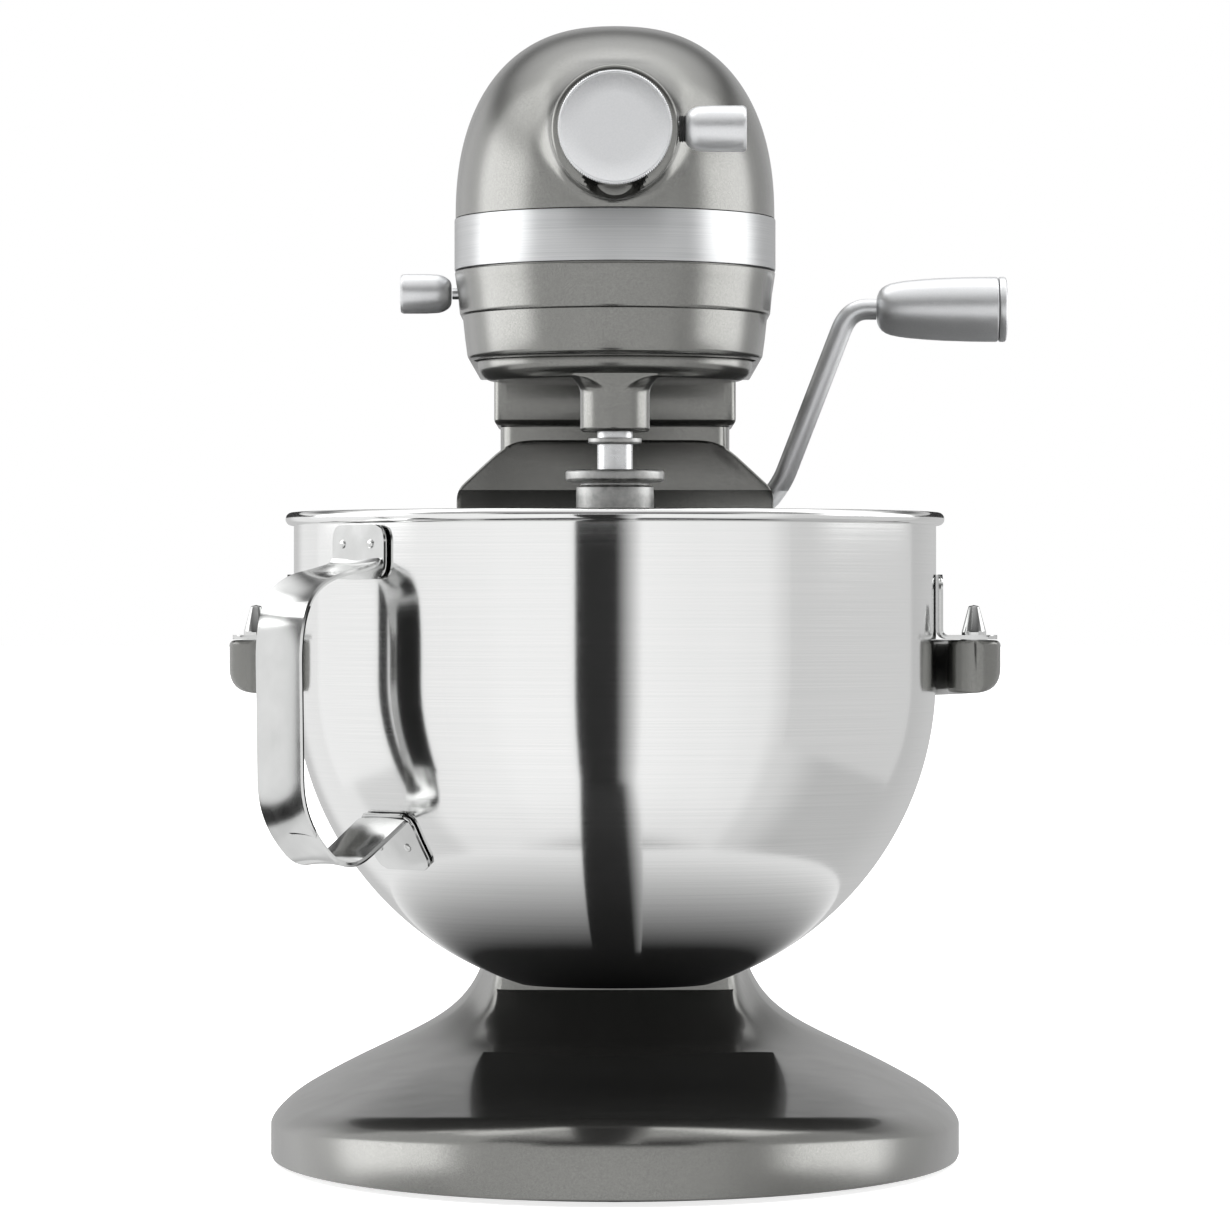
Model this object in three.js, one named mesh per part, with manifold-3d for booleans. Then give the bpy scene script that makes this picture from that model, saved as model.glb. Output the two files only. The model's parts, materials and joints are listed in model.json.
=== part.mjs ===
// Bowl-lift stand mixer, in millimetres, +Z up. X points to the right of a person standing in front
// of it, and Y to its rear. All parts are placed from the bowl's axis, X = Y = 0, with the table at
// Z = 0; the exported group then moves the machine so that its origin is under its middle.
import * as THREE from "three";
import { mergeVertices } from "three/addons/utils/BufferGeometryUtils.js";
import Module from "manifold-3d";

const wasm = await Module();
wasm.setup();

// ---------------------------------------------------------------- driving dimensions

const GAP = 0.3; // clearance between pieces that touch
const MIDDLE = { x: 5, y: 45 }; // middle of the machine's outline, seen from the bowl's axis

const HEAD = {
  halfWidth: 57.4,
  noseY: -88,
  noseLength: 75, // depth of the elliptical nose, before the sides run straight
  crestY: 20, // where the rising nose line reaches the crest
  rearY: 196,
  backY: 231,
  bottom: 294.5,
  bandBottom: 326,
  bandTop: 345,
  top: 416.2,
  wall: 3.5,
};
const NECK = { halfWidth: 46, frontY: 118, bottom: 274.6, corner: 4 };
const COLUMN = { halfWidth: 44, frontY: 128, rearY: 196, top: 274.3, wall: 6.3, backWall: 14 };
const FOOT = {
  halfWidth: 128,
  centreY: 73.6,
  frontLength: 213,
  rearLength: 141.4,
  bottom: 2,
  topZ: 28, // height that the flare settles to, far from the neck
  flare: 570, // flare height is this over the distance from the neck plus flareOffset
  flareOffset: 7,
  wall: 6,
};
const PADS = [
  ["front", 0, -108],
  ["left", -74, -58],
  ["right", 74, -58],
  ["rear_left", -82, 150],
  ["rear_right", 82, 150],
];
const BOWL = { radius: 116.2, wall: 1.2, bendZ: 180, flatZ: 69, rimRadius: 119.2, rimTop: 239.4 };
const HANDLE = { turn: 50, reach: 152.5, width: 27, thickness: 2, plateWidth: 30 };
const YOKE = {
  frontY: 122,
  plate: 5.7,
  top: 269,
  shoulder: 250,
  halfWidth: 60.3,
  topHalfWidth: 39,
  armInner: 120.3,
  armOuter: 139.7,
  armBottom: 174.2,
  armTop: 193.3,
  armSweep: 66, // degrees that each arm runs round the bowl
  boltZ: [205, 232],
};
const LIFT = { y: 145, z: 245, rod: 4, crank: 21.7, crankTurn: 47.5, rollerRadius: 4 };
const GRIP = { z: 319.8, from: 100.6, to: 150.3, radius: 12.5 };

const HUB = { z: 371.7, faceY: -99.6, radius: 22, bore: 17.2, socketRadius: 11, square: 12.4 };
const HUB_COVER = { radius: 20, thickness: 3.4, pinY: -96.5, pinZ: 390.5, pinRadius: 1.2 };
const HUB_KNOB = { y: -93, neckFrom: 22.4, bulletFrom: 24.3, to: 45.8, radius: 8.1 };
const SPEED = { z: 318.7, knobRadius: 7.15, from: 59.2, to: 77.7, travel: 24 };

const ORBIT = 35; // distance of the agitator shaft from the bowl's axis
const DISH = { radius: 49.7, bottom: 287, top: 295.7, boss: 12.4, bossBottom: 267.7 };
const RING = { teeth: 39, module: 7 / 3, bottom: 296.3, top: 306, outer: 50.6 };
const PLANET_TEETH = 9;
const CENTRE = { teeth: 30, module: 1.8, bottom: 313, top: 321, shaft: 8 };
const JACK = { teeth: 10, x: -24, y: 26.83, shaft: 5 };
const WORM = { starts: 3, radius: 6, wheelTeeth: 24, module: 1.5, width: 8, from: 16, to: 38 };
const MOTOR = { z: 339.5, shaft: 3.6, armature: 20, stator: 37 };
const BEVEL = { teeth: 16, radius: 15, width: 5.2 };
const LIFT_TRAVEL = 32;
const SLEEVE = { flangeTop: 254.1, flange: 17.6, radius: 13.9, end: 206, bore: 6.75 };
const NECK_TOP = FOOT.topZ + FOOT.flare / FOOT.flareOffset; // where the foot hands over to the column

// Angles that put the gears in mesh at rest.
const JACK_LINE = Math.atan2(JACK.y, JACK.x);
const CENTRE_PITCH = (2 * Math.PI) / CENTRE.teeth;
const JACK_OFFSET = JACK_LINE - Math.round(JACK_LINE / CENTRE_PITCH) * CENTRE_PITCH;
const JACK_PHASE = JACK_LINE + Math.PI + Math.PI / JACK.teeth + (JACK_OFFSET * CENTRE.teeth) / JACK.teeth;
const HUB_BEVEL_PHASE = Math.PI / 2 + Math.PI / BEVEL.teeth;
const WORM_LEAD = WORM.starts * WORM.module * Math.PI;
const WHEEL_LEAN = (WORM.starts * WORM.module) / (2 * WORM.radius); // tooth drift per millimetre of width
const WORM_PHASE = Math.PI - Math.PI / WORM.starts + (2 * Math.PI * (JACK.y - WORM.from)) / WORM_LEAD;

// ---------------------------------------------------------------- finishes

const finish = (color, roughness, metalness) =>
  new THREE.MeshStandardMaterial({ color, roughness, metalness });
const PAINT = finish(0x85857c, 0.32, 0.6);
const BRUSHED = finish(0xb9b9b7, 0.34, 1);
const POLISHED = finish(0xc9c9c8, 0.16, 1);
const SATIN = finish(0xb4b6b8, 0.38, 1);
const CAST = finish(0x8c8e8d, 0.5, 1);
const STEEL = finish(0x8f9294, 0.4, 1);
const BRASS = finish(0xb08d4a, 0.35, 1);
const COPPER = finish(0xa8603a, 0.4, 1);
const RUBBER = finish(0x161616, 0.9, 0);
const PLASTIC = finish(0x20201f, 0.6, 0);

// ---------------------------------------------------------------- geometry helpers

const radians = THREE.MathUtils.degToRad;

// A closed geometry as a solid that can be joined and cut.
function toSolid(geometry) {
  const bare = geometry.index ? geometry.toNonIndexed() : geometry.clone();
  bare.deleteAttribute("normal");
  bare.deleteAttribute("uv");
  const merged = mergeVertices(bare, 1e-4);
  const corners = merged.index.array;
  const kept = [];
  for (let i = 0; i < corners.length; i += 3) {
    const [a, b, c] = corners.slice(i, i + 3);
    if (a !== b && b !== c && c !== a) kept.push(a, b, c);
  }
  const vertProperties = merged.attributes.position.array;
  const mesh = new wasm.Mesh({ numProp: 3, vertProperties, triVerts: new Uint32Array(kept) });
  return new wasm.Manifold(mesh);
}

function toGeometry(solid) {
  const mesh = solid.getMesh();
  const geometry = new THREE.BufferGeometry();
  geometry.setAttribute("position", new THREE.BufferAttribute(mesh.vertProperties, 3));
  geometry.setIndex(new THREE.BufferAttribute(mesh.triVerts, 1));
  geometry.computeVertexNormals();
  return geometry;
}

const join = (first, ...rest) =>
  toGeometry(rest.reduce((sum, next) => sum.add(toSolid(next)), toSolid(first)));

const cut = (body, ...tools) =>
  toGeometry(tools.reduce((left, tool) => left.subtract(toSolid(tool)), toSolid(body)));

// Turns a geometry that was made along Z so that it lies along the named axis.
function along(axis, geometry) {
  if (axis === "x") return geometry.rotateY(Math.PI / 2);
  if (axis === "y") return geometry.rotateX(-Math.PI / 2);
  return geometry;
}

// A solid of revolution; the profile holds [radius, height] from its bottom round to its top.
function turned(profile, axis = "z", segments = 32) {
  const points = profile.map(([radius, height]) => new THREE.Vector2(radius, height));
  return along(axis, new THREE.LatheGeometry(points, segments).rotateX(Math.PI / 2));
}

// A closed ring of revolution between two radii.
const bush = (inner, outer, from, to, axis = "z", segments = 20) =>
  turned([[inner, from], [outer, from], [outer, to], [inner, to], [inner, from]], axis, segments);

const rod = (radius, from, to, axis = "z", segments = 16) =>
  turned([[0, from], [radius, from], [radius, to], [0, to]], axis, segments);

const box = (x, y, z) =>
  new THREE.BoxGeometry(x[1] - x[0], y[1] - y[0], z[1] - z[0]).translate(
    (x[0] + x[1]) / 2,
    (y[0] + y[1]) / 2,
    (z[0] + z[1]) / 2,
  );

// Joins a stack of rings with the same number of points into one closed skin.
function loft(rings) {
  const count = rings[0].length;
  const points = rings.flat();
  const faces = [];
  rings.slice(1).forEach((_, level) => {
    for (let i = 0; i < count; i += 1) {
      const next = (i + 1) % count;
      const low = level * count;
      const high = low + count;
      faces.push(low + i, low + next, high + next, low + i, high + next, high + i);
    }
  });
  const cap = (ring, start, up) => {
    const middle = ring.reduce((sum, p) => sum.add(p), new THREE.Vector3()).divideScalar(count);
    const centre = points.push(middle) - 1;
    for (let i = 0; i < count; i += 1) {
      const edge = [start + i, start + ((i + 1) % count)];
      faces.push(centre, ...(up ? edge : edge.reverse()));
    }
  };
  cap(rings[0], 0, false);
  cap(rings.at(-1), (rings.length - 1) * count, true);
  const geometry = new THREE.BufferGeometry().setFromPoints(points);
  geometry.setIndex(faces);
  return geometry;
}

// An outline of [a, b] points, or a shape, extruded along the axis that its plane leaves out.
function slab(outline, from, to, plane = "xy") {
  const shape = outline instanceof THREE.Shape ? outline : shapeOf(outline);
  const options = { depth: to - from, bevelEnabled: false, curveSegments: 8 };
  const geometry = new THREE.ExtrudeGeometry(shape, options);
  if (plane === "xz") return geometry.translate(0, 0, -to).rotateX(Math.PI / 2);
  geometry.translate(0, 0, from);
  return plane === "yz" ? geometry.rotateX(Math.PI / 2).rotateZ(Math.PI / 2) : geometry;
}

const shapeOf = (outline) => new THREE.Shape(outline.map(([a, b]) => new THREE.Vector2(a, b)));

// Corner points with each inner corner rounded by a short curve.
function bent(corners, reach, steps = 3) {
  const points = [corners[0].clone()];
  for (let i = 1; i < corners.length - 1; i += 1) {
    const [before, corner, after] = corners.slice(i - 1, i + 2);
    const enter = corner.clone().lerp(before, reach / corner.distanceTo(before));
    const leave = corner.clone().lerp(after, reach / corner.distanceTo(after));
    points.push(...new THREE.QuadraticBezierCurve3(enter, corner, leave).getPoints(steps));
  }
  points.push(corners.at(-1).clone());
  return points;
}

// A round bar along points that lie in one plane, whose normal is given.
function bar(points, radius, normal, sides = 10) {
  return loft(
    points.map((point, i) => {
      const before = points[Math.max(i - 1, 0)];
      const after = points[Math.min(i + 1, points.length - 1)];
      const tangent = after.clone().sub(before).normalize();
      const across = normal.clone().cross(tangent);
      return Array.from({ length: sides }, (_, k) => {
        const turn = (2 * Math.PI * k) / sides;
        const offset = across.clone().multiplyScalar(radius * Math.cos(turn));
        return offset.addScaledVector(normal, radius * Math.sin(turn)).add(point);
      });
    }),
  );
}

// Adds a named piece to a group.
function piece(group, name, geometry, material, position = [0, 0, 0]) {
  const mesh = new THREE.Mesh(geometry, material);
  mesh.name = name;
  mesh.position.set(...position);
  group.add(mesh);
  return mesh;
}

// ---------------------------------------------------------------- gear helpers

// Straight-sided teeth: [radius, angle] pairs become points, root and tip shares of half a pitch.
function toothOutline(teeth, root, tip, phase = 0, rootShare = 0.56, tipShare = 0.2) {
  const half = Math.PI / teeth;
  const outline = [];
  for (let i = 0; i < teeth; i += 1) {
    const middle = phase + 2 * half * i;
    [[root, -rootShare], [tip, -tipShare], [tip, tipShare], [root, rootShare]].forEach(([r, share]) => {
      const turn = middle + share * half;
      outline.push(new THREE.Vector3(r * Math.cos(turn), r * Math.sin(turn), 0));
    });
  }
  return outline;
}

const lifted = (outline, z, scale = 1, turn = 0) =>
  outline.map((p) =>
    new THREE.Vector3(p.x * scale, p.y * scale, z).applyAxisAngle(new THREE.Vector3(0, 0, 1), turn),
  );

// A spur gear with addendum and dedendum a little short, so that it runs with clear backlash.
function spurGear(teeth, module, width, bore, phase) {
  const pitch = (teeth * module) / 2;
  const outline = toothOutline(teeth, pitch - 1.15 * module, pitch + 0.85 * module, phase);
  const gear = loft([lifted(outline, 0), lifted(outline, width)]);
  return bore ? cut(gear, rod(bore, -1, width + 1)) : gear;
}

// A bevel gear whose teeth run towards the point that both shafts aim at; its back is at z = 0.
function bevelGear(bore, phase) {
  const { teeth, radius, width } = BEVEL;
  const module = (2 * radius) / teeth;
  const outline = toothOutline(teeth, radius - 1.1 * module, radius + 0.7 * module, phase);
  const toothed = loft([lifted(outline, 0), lifted(outline, width, (radius - width) / radius)]);
  return cut(join(toothed, rod(radius * 0.62, -6, 1)), rod(bore, -8, width + 2));
}

// ---------------------------------------------------------------- head castings

const fall = (share, power) => (1 - share ** power) ** (1 / power);

// A level outline of the head: an elliptical nose, straight sides and a square back.
function headRing(halfWidth, noseY, noseLength, rearY, z, steps = 16) {
  const ring = [];
  for (let i = 0; i <= steps; i += 1) {
    const turn = Math.PI + (Math.PI * i) / steps;
    ring.push(
      new THREE.Vector3(
        halfWidth * Math.cos(turn),
        noseY + noseLength * (1 + Math.sin(turn)),
        z,
      ),
    );
  }
  ring.push(new THREE.Vector3(halfWidth, rearY, z), new THREE.Vector3(-halfWidth, rearY, z));
  return ring;
}

const insetRing = (inset, z, rearY = HEAD.rearY) =>
  headRing(HEAD.halfWidth - inset, HEAD.noseY + inset, HEAD.noseLength - inset, rearY, z);

function upperSkin(inset, rearY, startZ, shares, steps) {
  const height = HEAD.top - HEAD.bandTop - inset;
  const width = HEAD.halfWidth - inset;
  const nose = HEAD.crestY - HEAD.noseY - inset;
  return loft(
    shares.map((share) => {
      const halfWidth = width * fall(share, 2.3);
      const noseY = HEAD.crestY - nose * fall(share, 2.4);
      const z = share === 0 ? startZ : HEAD.bandTop + share * height;
      const noseLength = (HEAD.noseLength * halfWidth) / HEAD.halfWidth;
      return headRing(halfWidth, noseY, noseLength, rearY, z, steps);
    }),
  );
}

// Y of the upper housing's front at a point seen from the front.
function faceY(x, z) {
  const share = (z - HEAD.bandTop) / (HEAD.top - HEAD.bandTop);
  const halfWidth = HEAD.halfWidth * fall(share, 2.3);
  const noseY = HEAD.crestY - (HEAD.crestY - HEAD.noseY) * fall(share, 2.4);
  const noseLength = (HEAD.noseLength * halfWidth) / HEAD.halfWidth;
  return noseY + noseLength * (1 - Math.sqrt(1 - (x / halfWidth) ** 2));
}

// The hollow curve by which the housing's skin rises to the hub's collar.
function hubFlare() {
  const ring = (away, back) =>
    Array.from({ length: 28 }, (_, i) => {
      const turn = (2 * Math.PI * i) / 28;
      const reach = 6 + 3 * Math.sin(turn);
      const out = Math.min(away, 1) * reach;
      const radius = HUB.radius + out;
      const [x, z] = [radius * Math.cos(turn), HUB.z + radius * Math.sin(turn)];
      const rise = reach - Math.sqrt(reach ** 2 - (reach - out) ** 2);
      return new THREE.Vector3(x, faceY(x, Math.max(z, HEAD.bandTop)) - rise + back, z);
    });
  return loft([ring(0.02, 0), ring(0.1, 0), ring(0.3, 0), ring(0.6, 0), ring(1, 0.05), ring(1, 2.5),
    ring(0.02, 12)].reverse());
}

function upperHousing() {
  const { z, radius } = HUB;
  const shell = cut(
    upperSkin(0, HEAD.rearY, HEAD.bandTop, [0, 0.4, 0.68, 0.86, 0.95, 0.985, 0.999], 16),
    upperSkin(HEAD.wall, HEAD.rearY + 1, HEAD.bandTop - 1, [0, 0.55, 0.85, 0.96], 8),
  );
  return cut(join(shell, hubFlare()), rod(radius + GAP, HUB.faceY - 1, -60, "y", 32).translate(0, 0, z));
}

function hubCollar() {
  const { z, faceY: front, radius, bore } = HUB;
  const { pinY, pinZ, pinRadius } = HUB_COVER;
  const back = -62;
  const section = [[bore, front], [radius - 1, front], [radius, front + 1], [radius, back], [bore, back]];
  return cut(
    turned([...section, section[0]], "y").translate(0, 0, z),
    box([-6.8, 6.8], [front - 1, pinY + 2.6], [pinZ - 3, pinZ + 6]),
    rod(pinRadius + GAP, -10.5, 10.5, "x", 12).translate(0, pinY, pinZ),
    box([-8.5, 8.5], [front - 1, front + 7], [z - 25, z - bore + 2]),
    rod(3.1, 15, 32, "x", 16).translate(0, HUB_KNOB.y, z),
  );
}

function trimBand() {
  const [low, high] = [HEAD.bandBottom + GAP, HEAD.bandTop - GAP];
  const rear = HEAD.rearY - GAP;
  return cut(
    loft([insetRing(-0.4, low, rear), insetRing(-0.4, high, rear)]),
    loft([insetRing(2.3, low - 1, rear + 1), insetRing(2.3, high + 1, rear + 1)]),
  );
}

function roundedBox(halfWidth, frontY, rearY, corner, bottom, top) {
  const corners = [[0, frontY], [halfWidth, frontY], [halfWidth, rearY]];
  const mirrored = corners.map(([x, y]) => [-x, y]).reverse();
  const outline = bent([...corners, ...mirrored].map(([x, y]) => new THREE.Vector3(x, y, 0)), corner);
  return slab(outline.slice(1).map((p) => [p.x, p.y]), bottom, top);
}

function gearcase() {
  const body = loft(
    [[HEAD.bottom, 5.2], [HEAD.bottom + 1.3, 4.2], [309, 2.6], [311, 1.5], [317.5, 0.9],
      [HEAD.bandBottom - GAP, -0.3], [HEAD.bandBottom - GAP, 2.6], [HEAD.bandTop - GAP, 2.6]]
      .map(([z, inset]) => insetRing(inset, z)),
  );
  const neck = roundedBox(NECK.halfWidth, NECK.frontY, HEAD.rearY, NECK.corner, NECK.bottom, 298);
  const bolts = [-1, 1].map((side) => rod(3.3, 260, 310, "z", 12).translate(side * 28, 189, 0));
  return cut(
    join(body, neck),
    loft([insetRing(5, 311, HEAD.rearY + 1), insetRing(5, 350, HEAD.rearY + 1)]),
    box([-51, 51], [60, HEAD.rearY + 1], [299, 320]),
    rod(RING.outer + 0.5, HEAD.bottom - 1, RING.top + GAP, "z", 36),
    rod(CENTRE.shaft + 0.5, 300, 315),
    box([-62, -50], [-4, SPEED.travel + 4], [SPEED.z - 2.5, SPEED.z + 2.5]),
    rod(9, 270, 305).translate(0, 158, 0),
    ...bolts,
  );
}

// One cross-section of the end cover: arched top, straight flanks and a flat bottom.
function coverRing(y, scale, inset) {
  const ring = [];
  const steps = 12;
  const centreZ = 352;
  for (let i = 0; i <= steps; i += 1) {
    const turn = (Math.PI * i) / steps;
    const x = Math.sign(Math.cos(turn)) * Math.abs(Math.cos(turn)) ** 0.87;
    const rise = (HEAD.top - HEAD.bandTop - inset) * Math.sin(turn) ** 0.87;
    ring.push([(HEAD.halfWidth - inset) * x, HEAD.bandTop + rise]);
  }
  const flank = [[1, 312], [4, 298 + inset], [7, HEAD.bottom + inset]];
  const low = flank.map(([narrower, z]) => [HEAD.halfWidth - narrower - inset, z]);
  ring.push(...low.map(([x, z]) => [-x, z]), ...low.reverse());
  return ring
    .map(([x, z]) => new THREE.Vector3(x * scale, y, centreZ + (z - centreZ) * scale))
    .reverse();
}

function endCover() {
  const start = HEAD.rearY + GAP;
  const skin = (inset, from, depth) =>
    loft(
      [0, 18, 36, 52, 66, 79, 90].map((degrees) => {
        const turn = radians(degrees);
        return coverRing(from + depth * Math.sin(turn), 0.6 + 0.4 * Math.cos(turn), inset);
      }),
    );
  const depth = HEAD.backY - start;
  const vents = [0, 1, 2, 3, 4, 5].map((row) => box([-24, 24], [216, 240], [336 + 8 * row, 339.4 + 8 * row]));
  return cut(
    skin(0, start, depth),
    skin(3, start - 0.01, depth - 3),
    box([-51.5, 51.5], [start - 1, start + 0.5], [300, 360]),
    rod(6.8, 280, 310, "z", 16).translate(22, 212, 0),
    rod(2.4, 205, 240, "y", 12).translate(0, 0, 324),
    ...vents,
  );
}

// ---------------------------------------------------------------- hub and controls

function hubCover() {
  const { radius, thickness, pinY, pinZ, pinRadius } = HUB_COVER;
  const back = HUB.faceY - GAP;
  const front = back - thickness;
  const disc = turned(
    [[0, front], [radius - 1.2, front], [radius - 1.2, front + 0.5], [radius, front + 0.9],
      [radius, back], [0, back]],
    "y",
    40,
  ).translate(0, 0, HUB.z);
  const knuckle = rod(2.3, -5.8, 5.8, "x", 12).translate(0, pinY, pinZ);
  const arm = box([-5.8, 5.8], [back - 1, pinY], [pinZ - 1.6, pinZ + 0.6]);
  return cut(join(disc, knuckle, arm), rod(pinRadius + GAP, -7, 7, "x", 12).translate(0, pinY, pinZ));
}

// The bullet-shaped grips on the hub and on the speed control, along +X from their inner end.
function bullet(radius, from, to) {
  return turned(
    [[0, from], [radius * 0.5, from], [radius * 0.78, from + 1.6], [radius * 0.93, from + 4],
      [radius, from + 8], [radius, to - 1.2], [radius - 0.8, to], [0, to]],
    "x",
    18,
  );
}

function speedControl() {
  const inner = HEAD.halfWidth - 6;
  const link = box([-inner - 0.4, -inner + 1.8], [-5, 100], [SPEED.z - 2, SPEED.z + 2]);
  return join(link, rod(2, -SPEED.from + GAP, -inner, "x", 12).translate(0, 0, SPEED.z));
}

// ---------------------------------------------------------------- pedestal

// Point of an oval whose corners get squarer with the power.
function oval(turn, halfWidth, halfLength, power) {
  const [c, s] = [Math.cos(turn), Math.sin(turn)];
  const size = (Math.abs(c) ** power + Math.abs(s) ** power) ** (-1 / power);
  return [halfWidth * c * size, halfLength * s * size];
}

// The foot's skin: rings from its rim up to the neck of the column.
function footSkin(inset, bottomZ, sides) {
  const turns = Array.from({ length: sides }, (_, i) => (2 * Math.PI * i) / sides);
  const columnY = (COLUMN.frontY + COLUMN.rearY) / 2;
  const spots = turns.map((turn) => {
    const length = Math.sin(turn) < 0 ? FOOT.frontLength : FOOT.rearLength;
    const [x, y] = oval(turn, FOOT.halfWidth - inset, length - inset, 2);
    const [nx, ny] = oval(turn, COLUMN.halfWidth - inset, columnY - COLUMN.frontY - inset, 7);
    const rim = new THREE.Vector2(x, y + FOOT.centreY);
    const neck = new THREE.Vector2(nx, ny + columnY);
    return { rim, neck, run: rim.distanceTo(neck), side: Math.cos(turn) ** 2, rear: Math.sin(turn) > 0 };
  });
  const flare = (away) => FOOT.topZ + FOOT.flare / (away + FOOT.flareOffset) - inset;
  const ring = (share) =>
    spots.map(({ rim, neck, run, side, rear }) => {
      const rimZ = (rear ? 19 : 22) - (rear ? 4 : 7) * side - inset;
      const reach = Math.min(14 + 16 * side, run);
      const inward = share * run;
      const drop = (flare(run) - rimZ) * Math.max(1 - inward / reach, 0) ** 1.7;
      const at = rim.clone().lerp(neck, share);
      return new THREE.Vector3(at.x, at.y, flare(run - inward) - drop);
    });
  const level = (from, z) => from.map((p) => new THREE.Vector3(p.x, p.y, z));
  const shares = [0, 0.03, 0.09, 0.18, 0.36, 0.58, 0.75, 0.88, 0.96, 1];
  const rings = shares.map(ring);
  return loft([level(rings[0], bottomZ), ...rings]);
}

// The column's square-cornered oval section, drawn in by the inset.
function columnSkin(inset, from, to, sides) {
  const middle = (COLUMN.frontY + COLUMN.rearY) / 2;
  const ring = (z) =>
    Array.from({ length: sides }, (_, i) => {
      const turn = (2 * Math.PI * i) / sides;
      const [x, y] = oval(turn, COLUMN.halfWidth - inset, middle - COLUMN.frontY - inset, 7);
      return new THREE.Vector3(x, y + middle, z);
    });
  return loft([ring(from), ring(to)]);
}

function pedestal() {
  const bosses = PADS.map(([, x, y]) => rod(9, 6.3, 26, "z", 12).translate(x, y, 0));
  return cut(
    join(cut(footSkin(0, FOOT.bottom, 28), footSkin(FOOT.wall, -5, 16)), ...bosses),
    ...PADS.map(([, x, y]) => rod(2.6, 0, 14, "z", 10).translate(x, y, 0)),
  );
}

function column() {
  const { top, wall, backWall, frontY, rearY, halfWidth } = COLUMN;
  const well = box([-halfWidth + wall, halfWidth - wall], [frontY + wall, rearY - backWall], [60, top + 5]);
  const [lowBolt, highBolt] = YOKE.boltZ;
  const slot = box([-5, 5], [frontY - 5, frontY + wall + 3], [lowBolt - LIFT_TRAVEL - 7, highBolt + 7]);
  return cut(
    columnSkin(0, NECK_TOP + GAP, top, 28),
    well,
    slot,
    rod(LIFT.rod + 0.5, 20, 60, "x", 16).translate(0, LIFT.y, LIFT.z),
    ...[-1, 1].map((side) => rod(3.3, 250, 280, "z", 12).translate(side * 28, 189, 0)),
  );
}

const footPad = () =>
  turned([[0, 0], [9, 0], [10, 1], [9.4, 6], [2.3, 6], [2.3, 12], [0, 12]], "z", 12);

// ---------------------------------------------------------------- bowl lift

function leverRod() {
  const at = (x, z) => new THREE.Vector3(x, LIFT.y, z);
  const path = [at(3.2, LIFT.z), at(58, LIFT.z), at(63.5, 253), at(88.5, GRIP.z - 3.5), at(94, GRIP.z),
    at(GRIP.from - GAP, GRIP.z)];
  return bar(bent(path, 2.6), LIFT.rod, new THREE.Vector3(0, 1, 0));
}

function leverGrip() {
  const { from, to, radius } = GRIP;
  return turned(
    [[0, from], [5.5, from], [8.2, from + 1.5], [9.9, from + 5], [11, from + 11], [radius - 0.4, from + 26],
      [radius, to - 3.3], [0, to - 3.3]],
    "x",
    28,
  );
}

function liftCrank() {
  const turn = radians(LIFT.crankTurn);
  const [y, z] = [LIFT.y + LIFT.crank * Math.cos(turn), LIFT.z + LIFT.crank * Math.sin(turn)];
  const arm = box([3, 8], [0, LIFT.crank], [-4, 4]).rotateX(turn).translate(0, LIFT.y, LIFT.z);
  const hub = rod(6, 3, 8, "x").translate(0, LIFT.y, LIFT.z);
  const end = rod(5.2, 3, 8, "x").translate(0, y, z);
  const roller = rod(LIFT.rollerRadius, -6, 4, "x").translate(0, y, z);
  return cut(join(arm, hub, end, roller), rod(LIFT.rod + GAP, 2, 9, "x").translate(0, LIFT.y, LIFT.z));
}

// Plate inside the column that the crank's roller raises by a level slot.
function liftCarriage() {
  const slotZ = LIFT.z + LIFT.crank * Math.sin(radians(LIFT.crankTurn));
  const flange = box([-18, 18], [134.9, 138.2], [196, 272]);
  const web = box([-5, 0], [138, 176], [251, 272]);
  const slot = box([-6, 1], [153, 173], [slotZ - 5.2, slotZ + 5.2]);
  const holes = YOKE.boltZ.map((z) => rod(3.3, 130, 140, "y", 12).translate(0, 0, z));
  return cut(join(flange, web), slot, ...holes);
}

function bowlYoke() {
  const { frontY, plate, top, shoulder, halfWidth, topHalfWidth, armInner, armOuter } = YOKE;
  const half = [[halfWidth, YOKE.armBottom], [halfWidth, shoulder], [topHalfWidth + 5, top - 4],
    [topHalfWidth, top - 1], [topHalfWidth - 6, top]];
  const outline = [...half, ...half.map(([x, z]) => [-x, z]).reverse()];
  const back = slab(outline, frontY, frontY + plate, "xz");
  const middle = (armInner + armOuter) / 2;
  const arm = new THREE.Shape()
    .absarc(0, 0, armOuter, 0, radians(YOKE.armSweep), false)
    .absarc(0, 0, armInner, radians(YOKE.armSweep), 0, true);
  const right = join(
    slab(arm, YOKE.armBottom, YOKE.armTop),
    rod((armOuter - armInner) / 2, YOKE.armBottom, YOKE.armTop).translate(middle, 0, 0),
  );
  const left = right.clone().rotateY(Math.PI).translate(0, 0, YOKE.armBottom + YOKE.armTop);
  const bolts = YOKE.boltZ.flatMap((z) => [
    rod(3.3, frontY - 1, frontY + 10, "y", 12).translate(0, 0, z),
    rod(5.5, frontY - 1, frontY + 3.1, "y", 16).translate(0, 0, z),
  ]);
  const pins = [-1, 1].map((side) =>
    rod(2.8, YOKE.armTop - 9, YOKE.armTop + 1, "z", 12).translate(side * middle, 0, 0),
  );
  return cut(join(back, right, left), ...bolts, ...pins);
}

const locatingPin = () =>
  turned(
    [[0, YOKE.armTop - 8.7], [2.5, YOKE.armTop - 8.7], [2.5, YOKE.armTop + GAP], [4.45, YOKE.armTop + GAP],
      [4.45, YOKE.armTop + 3], [1.9, YOKE.armTop + 12.2], [0, YOKE.armTop + 12.7]],
    "z",
    20,
  );

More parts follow.
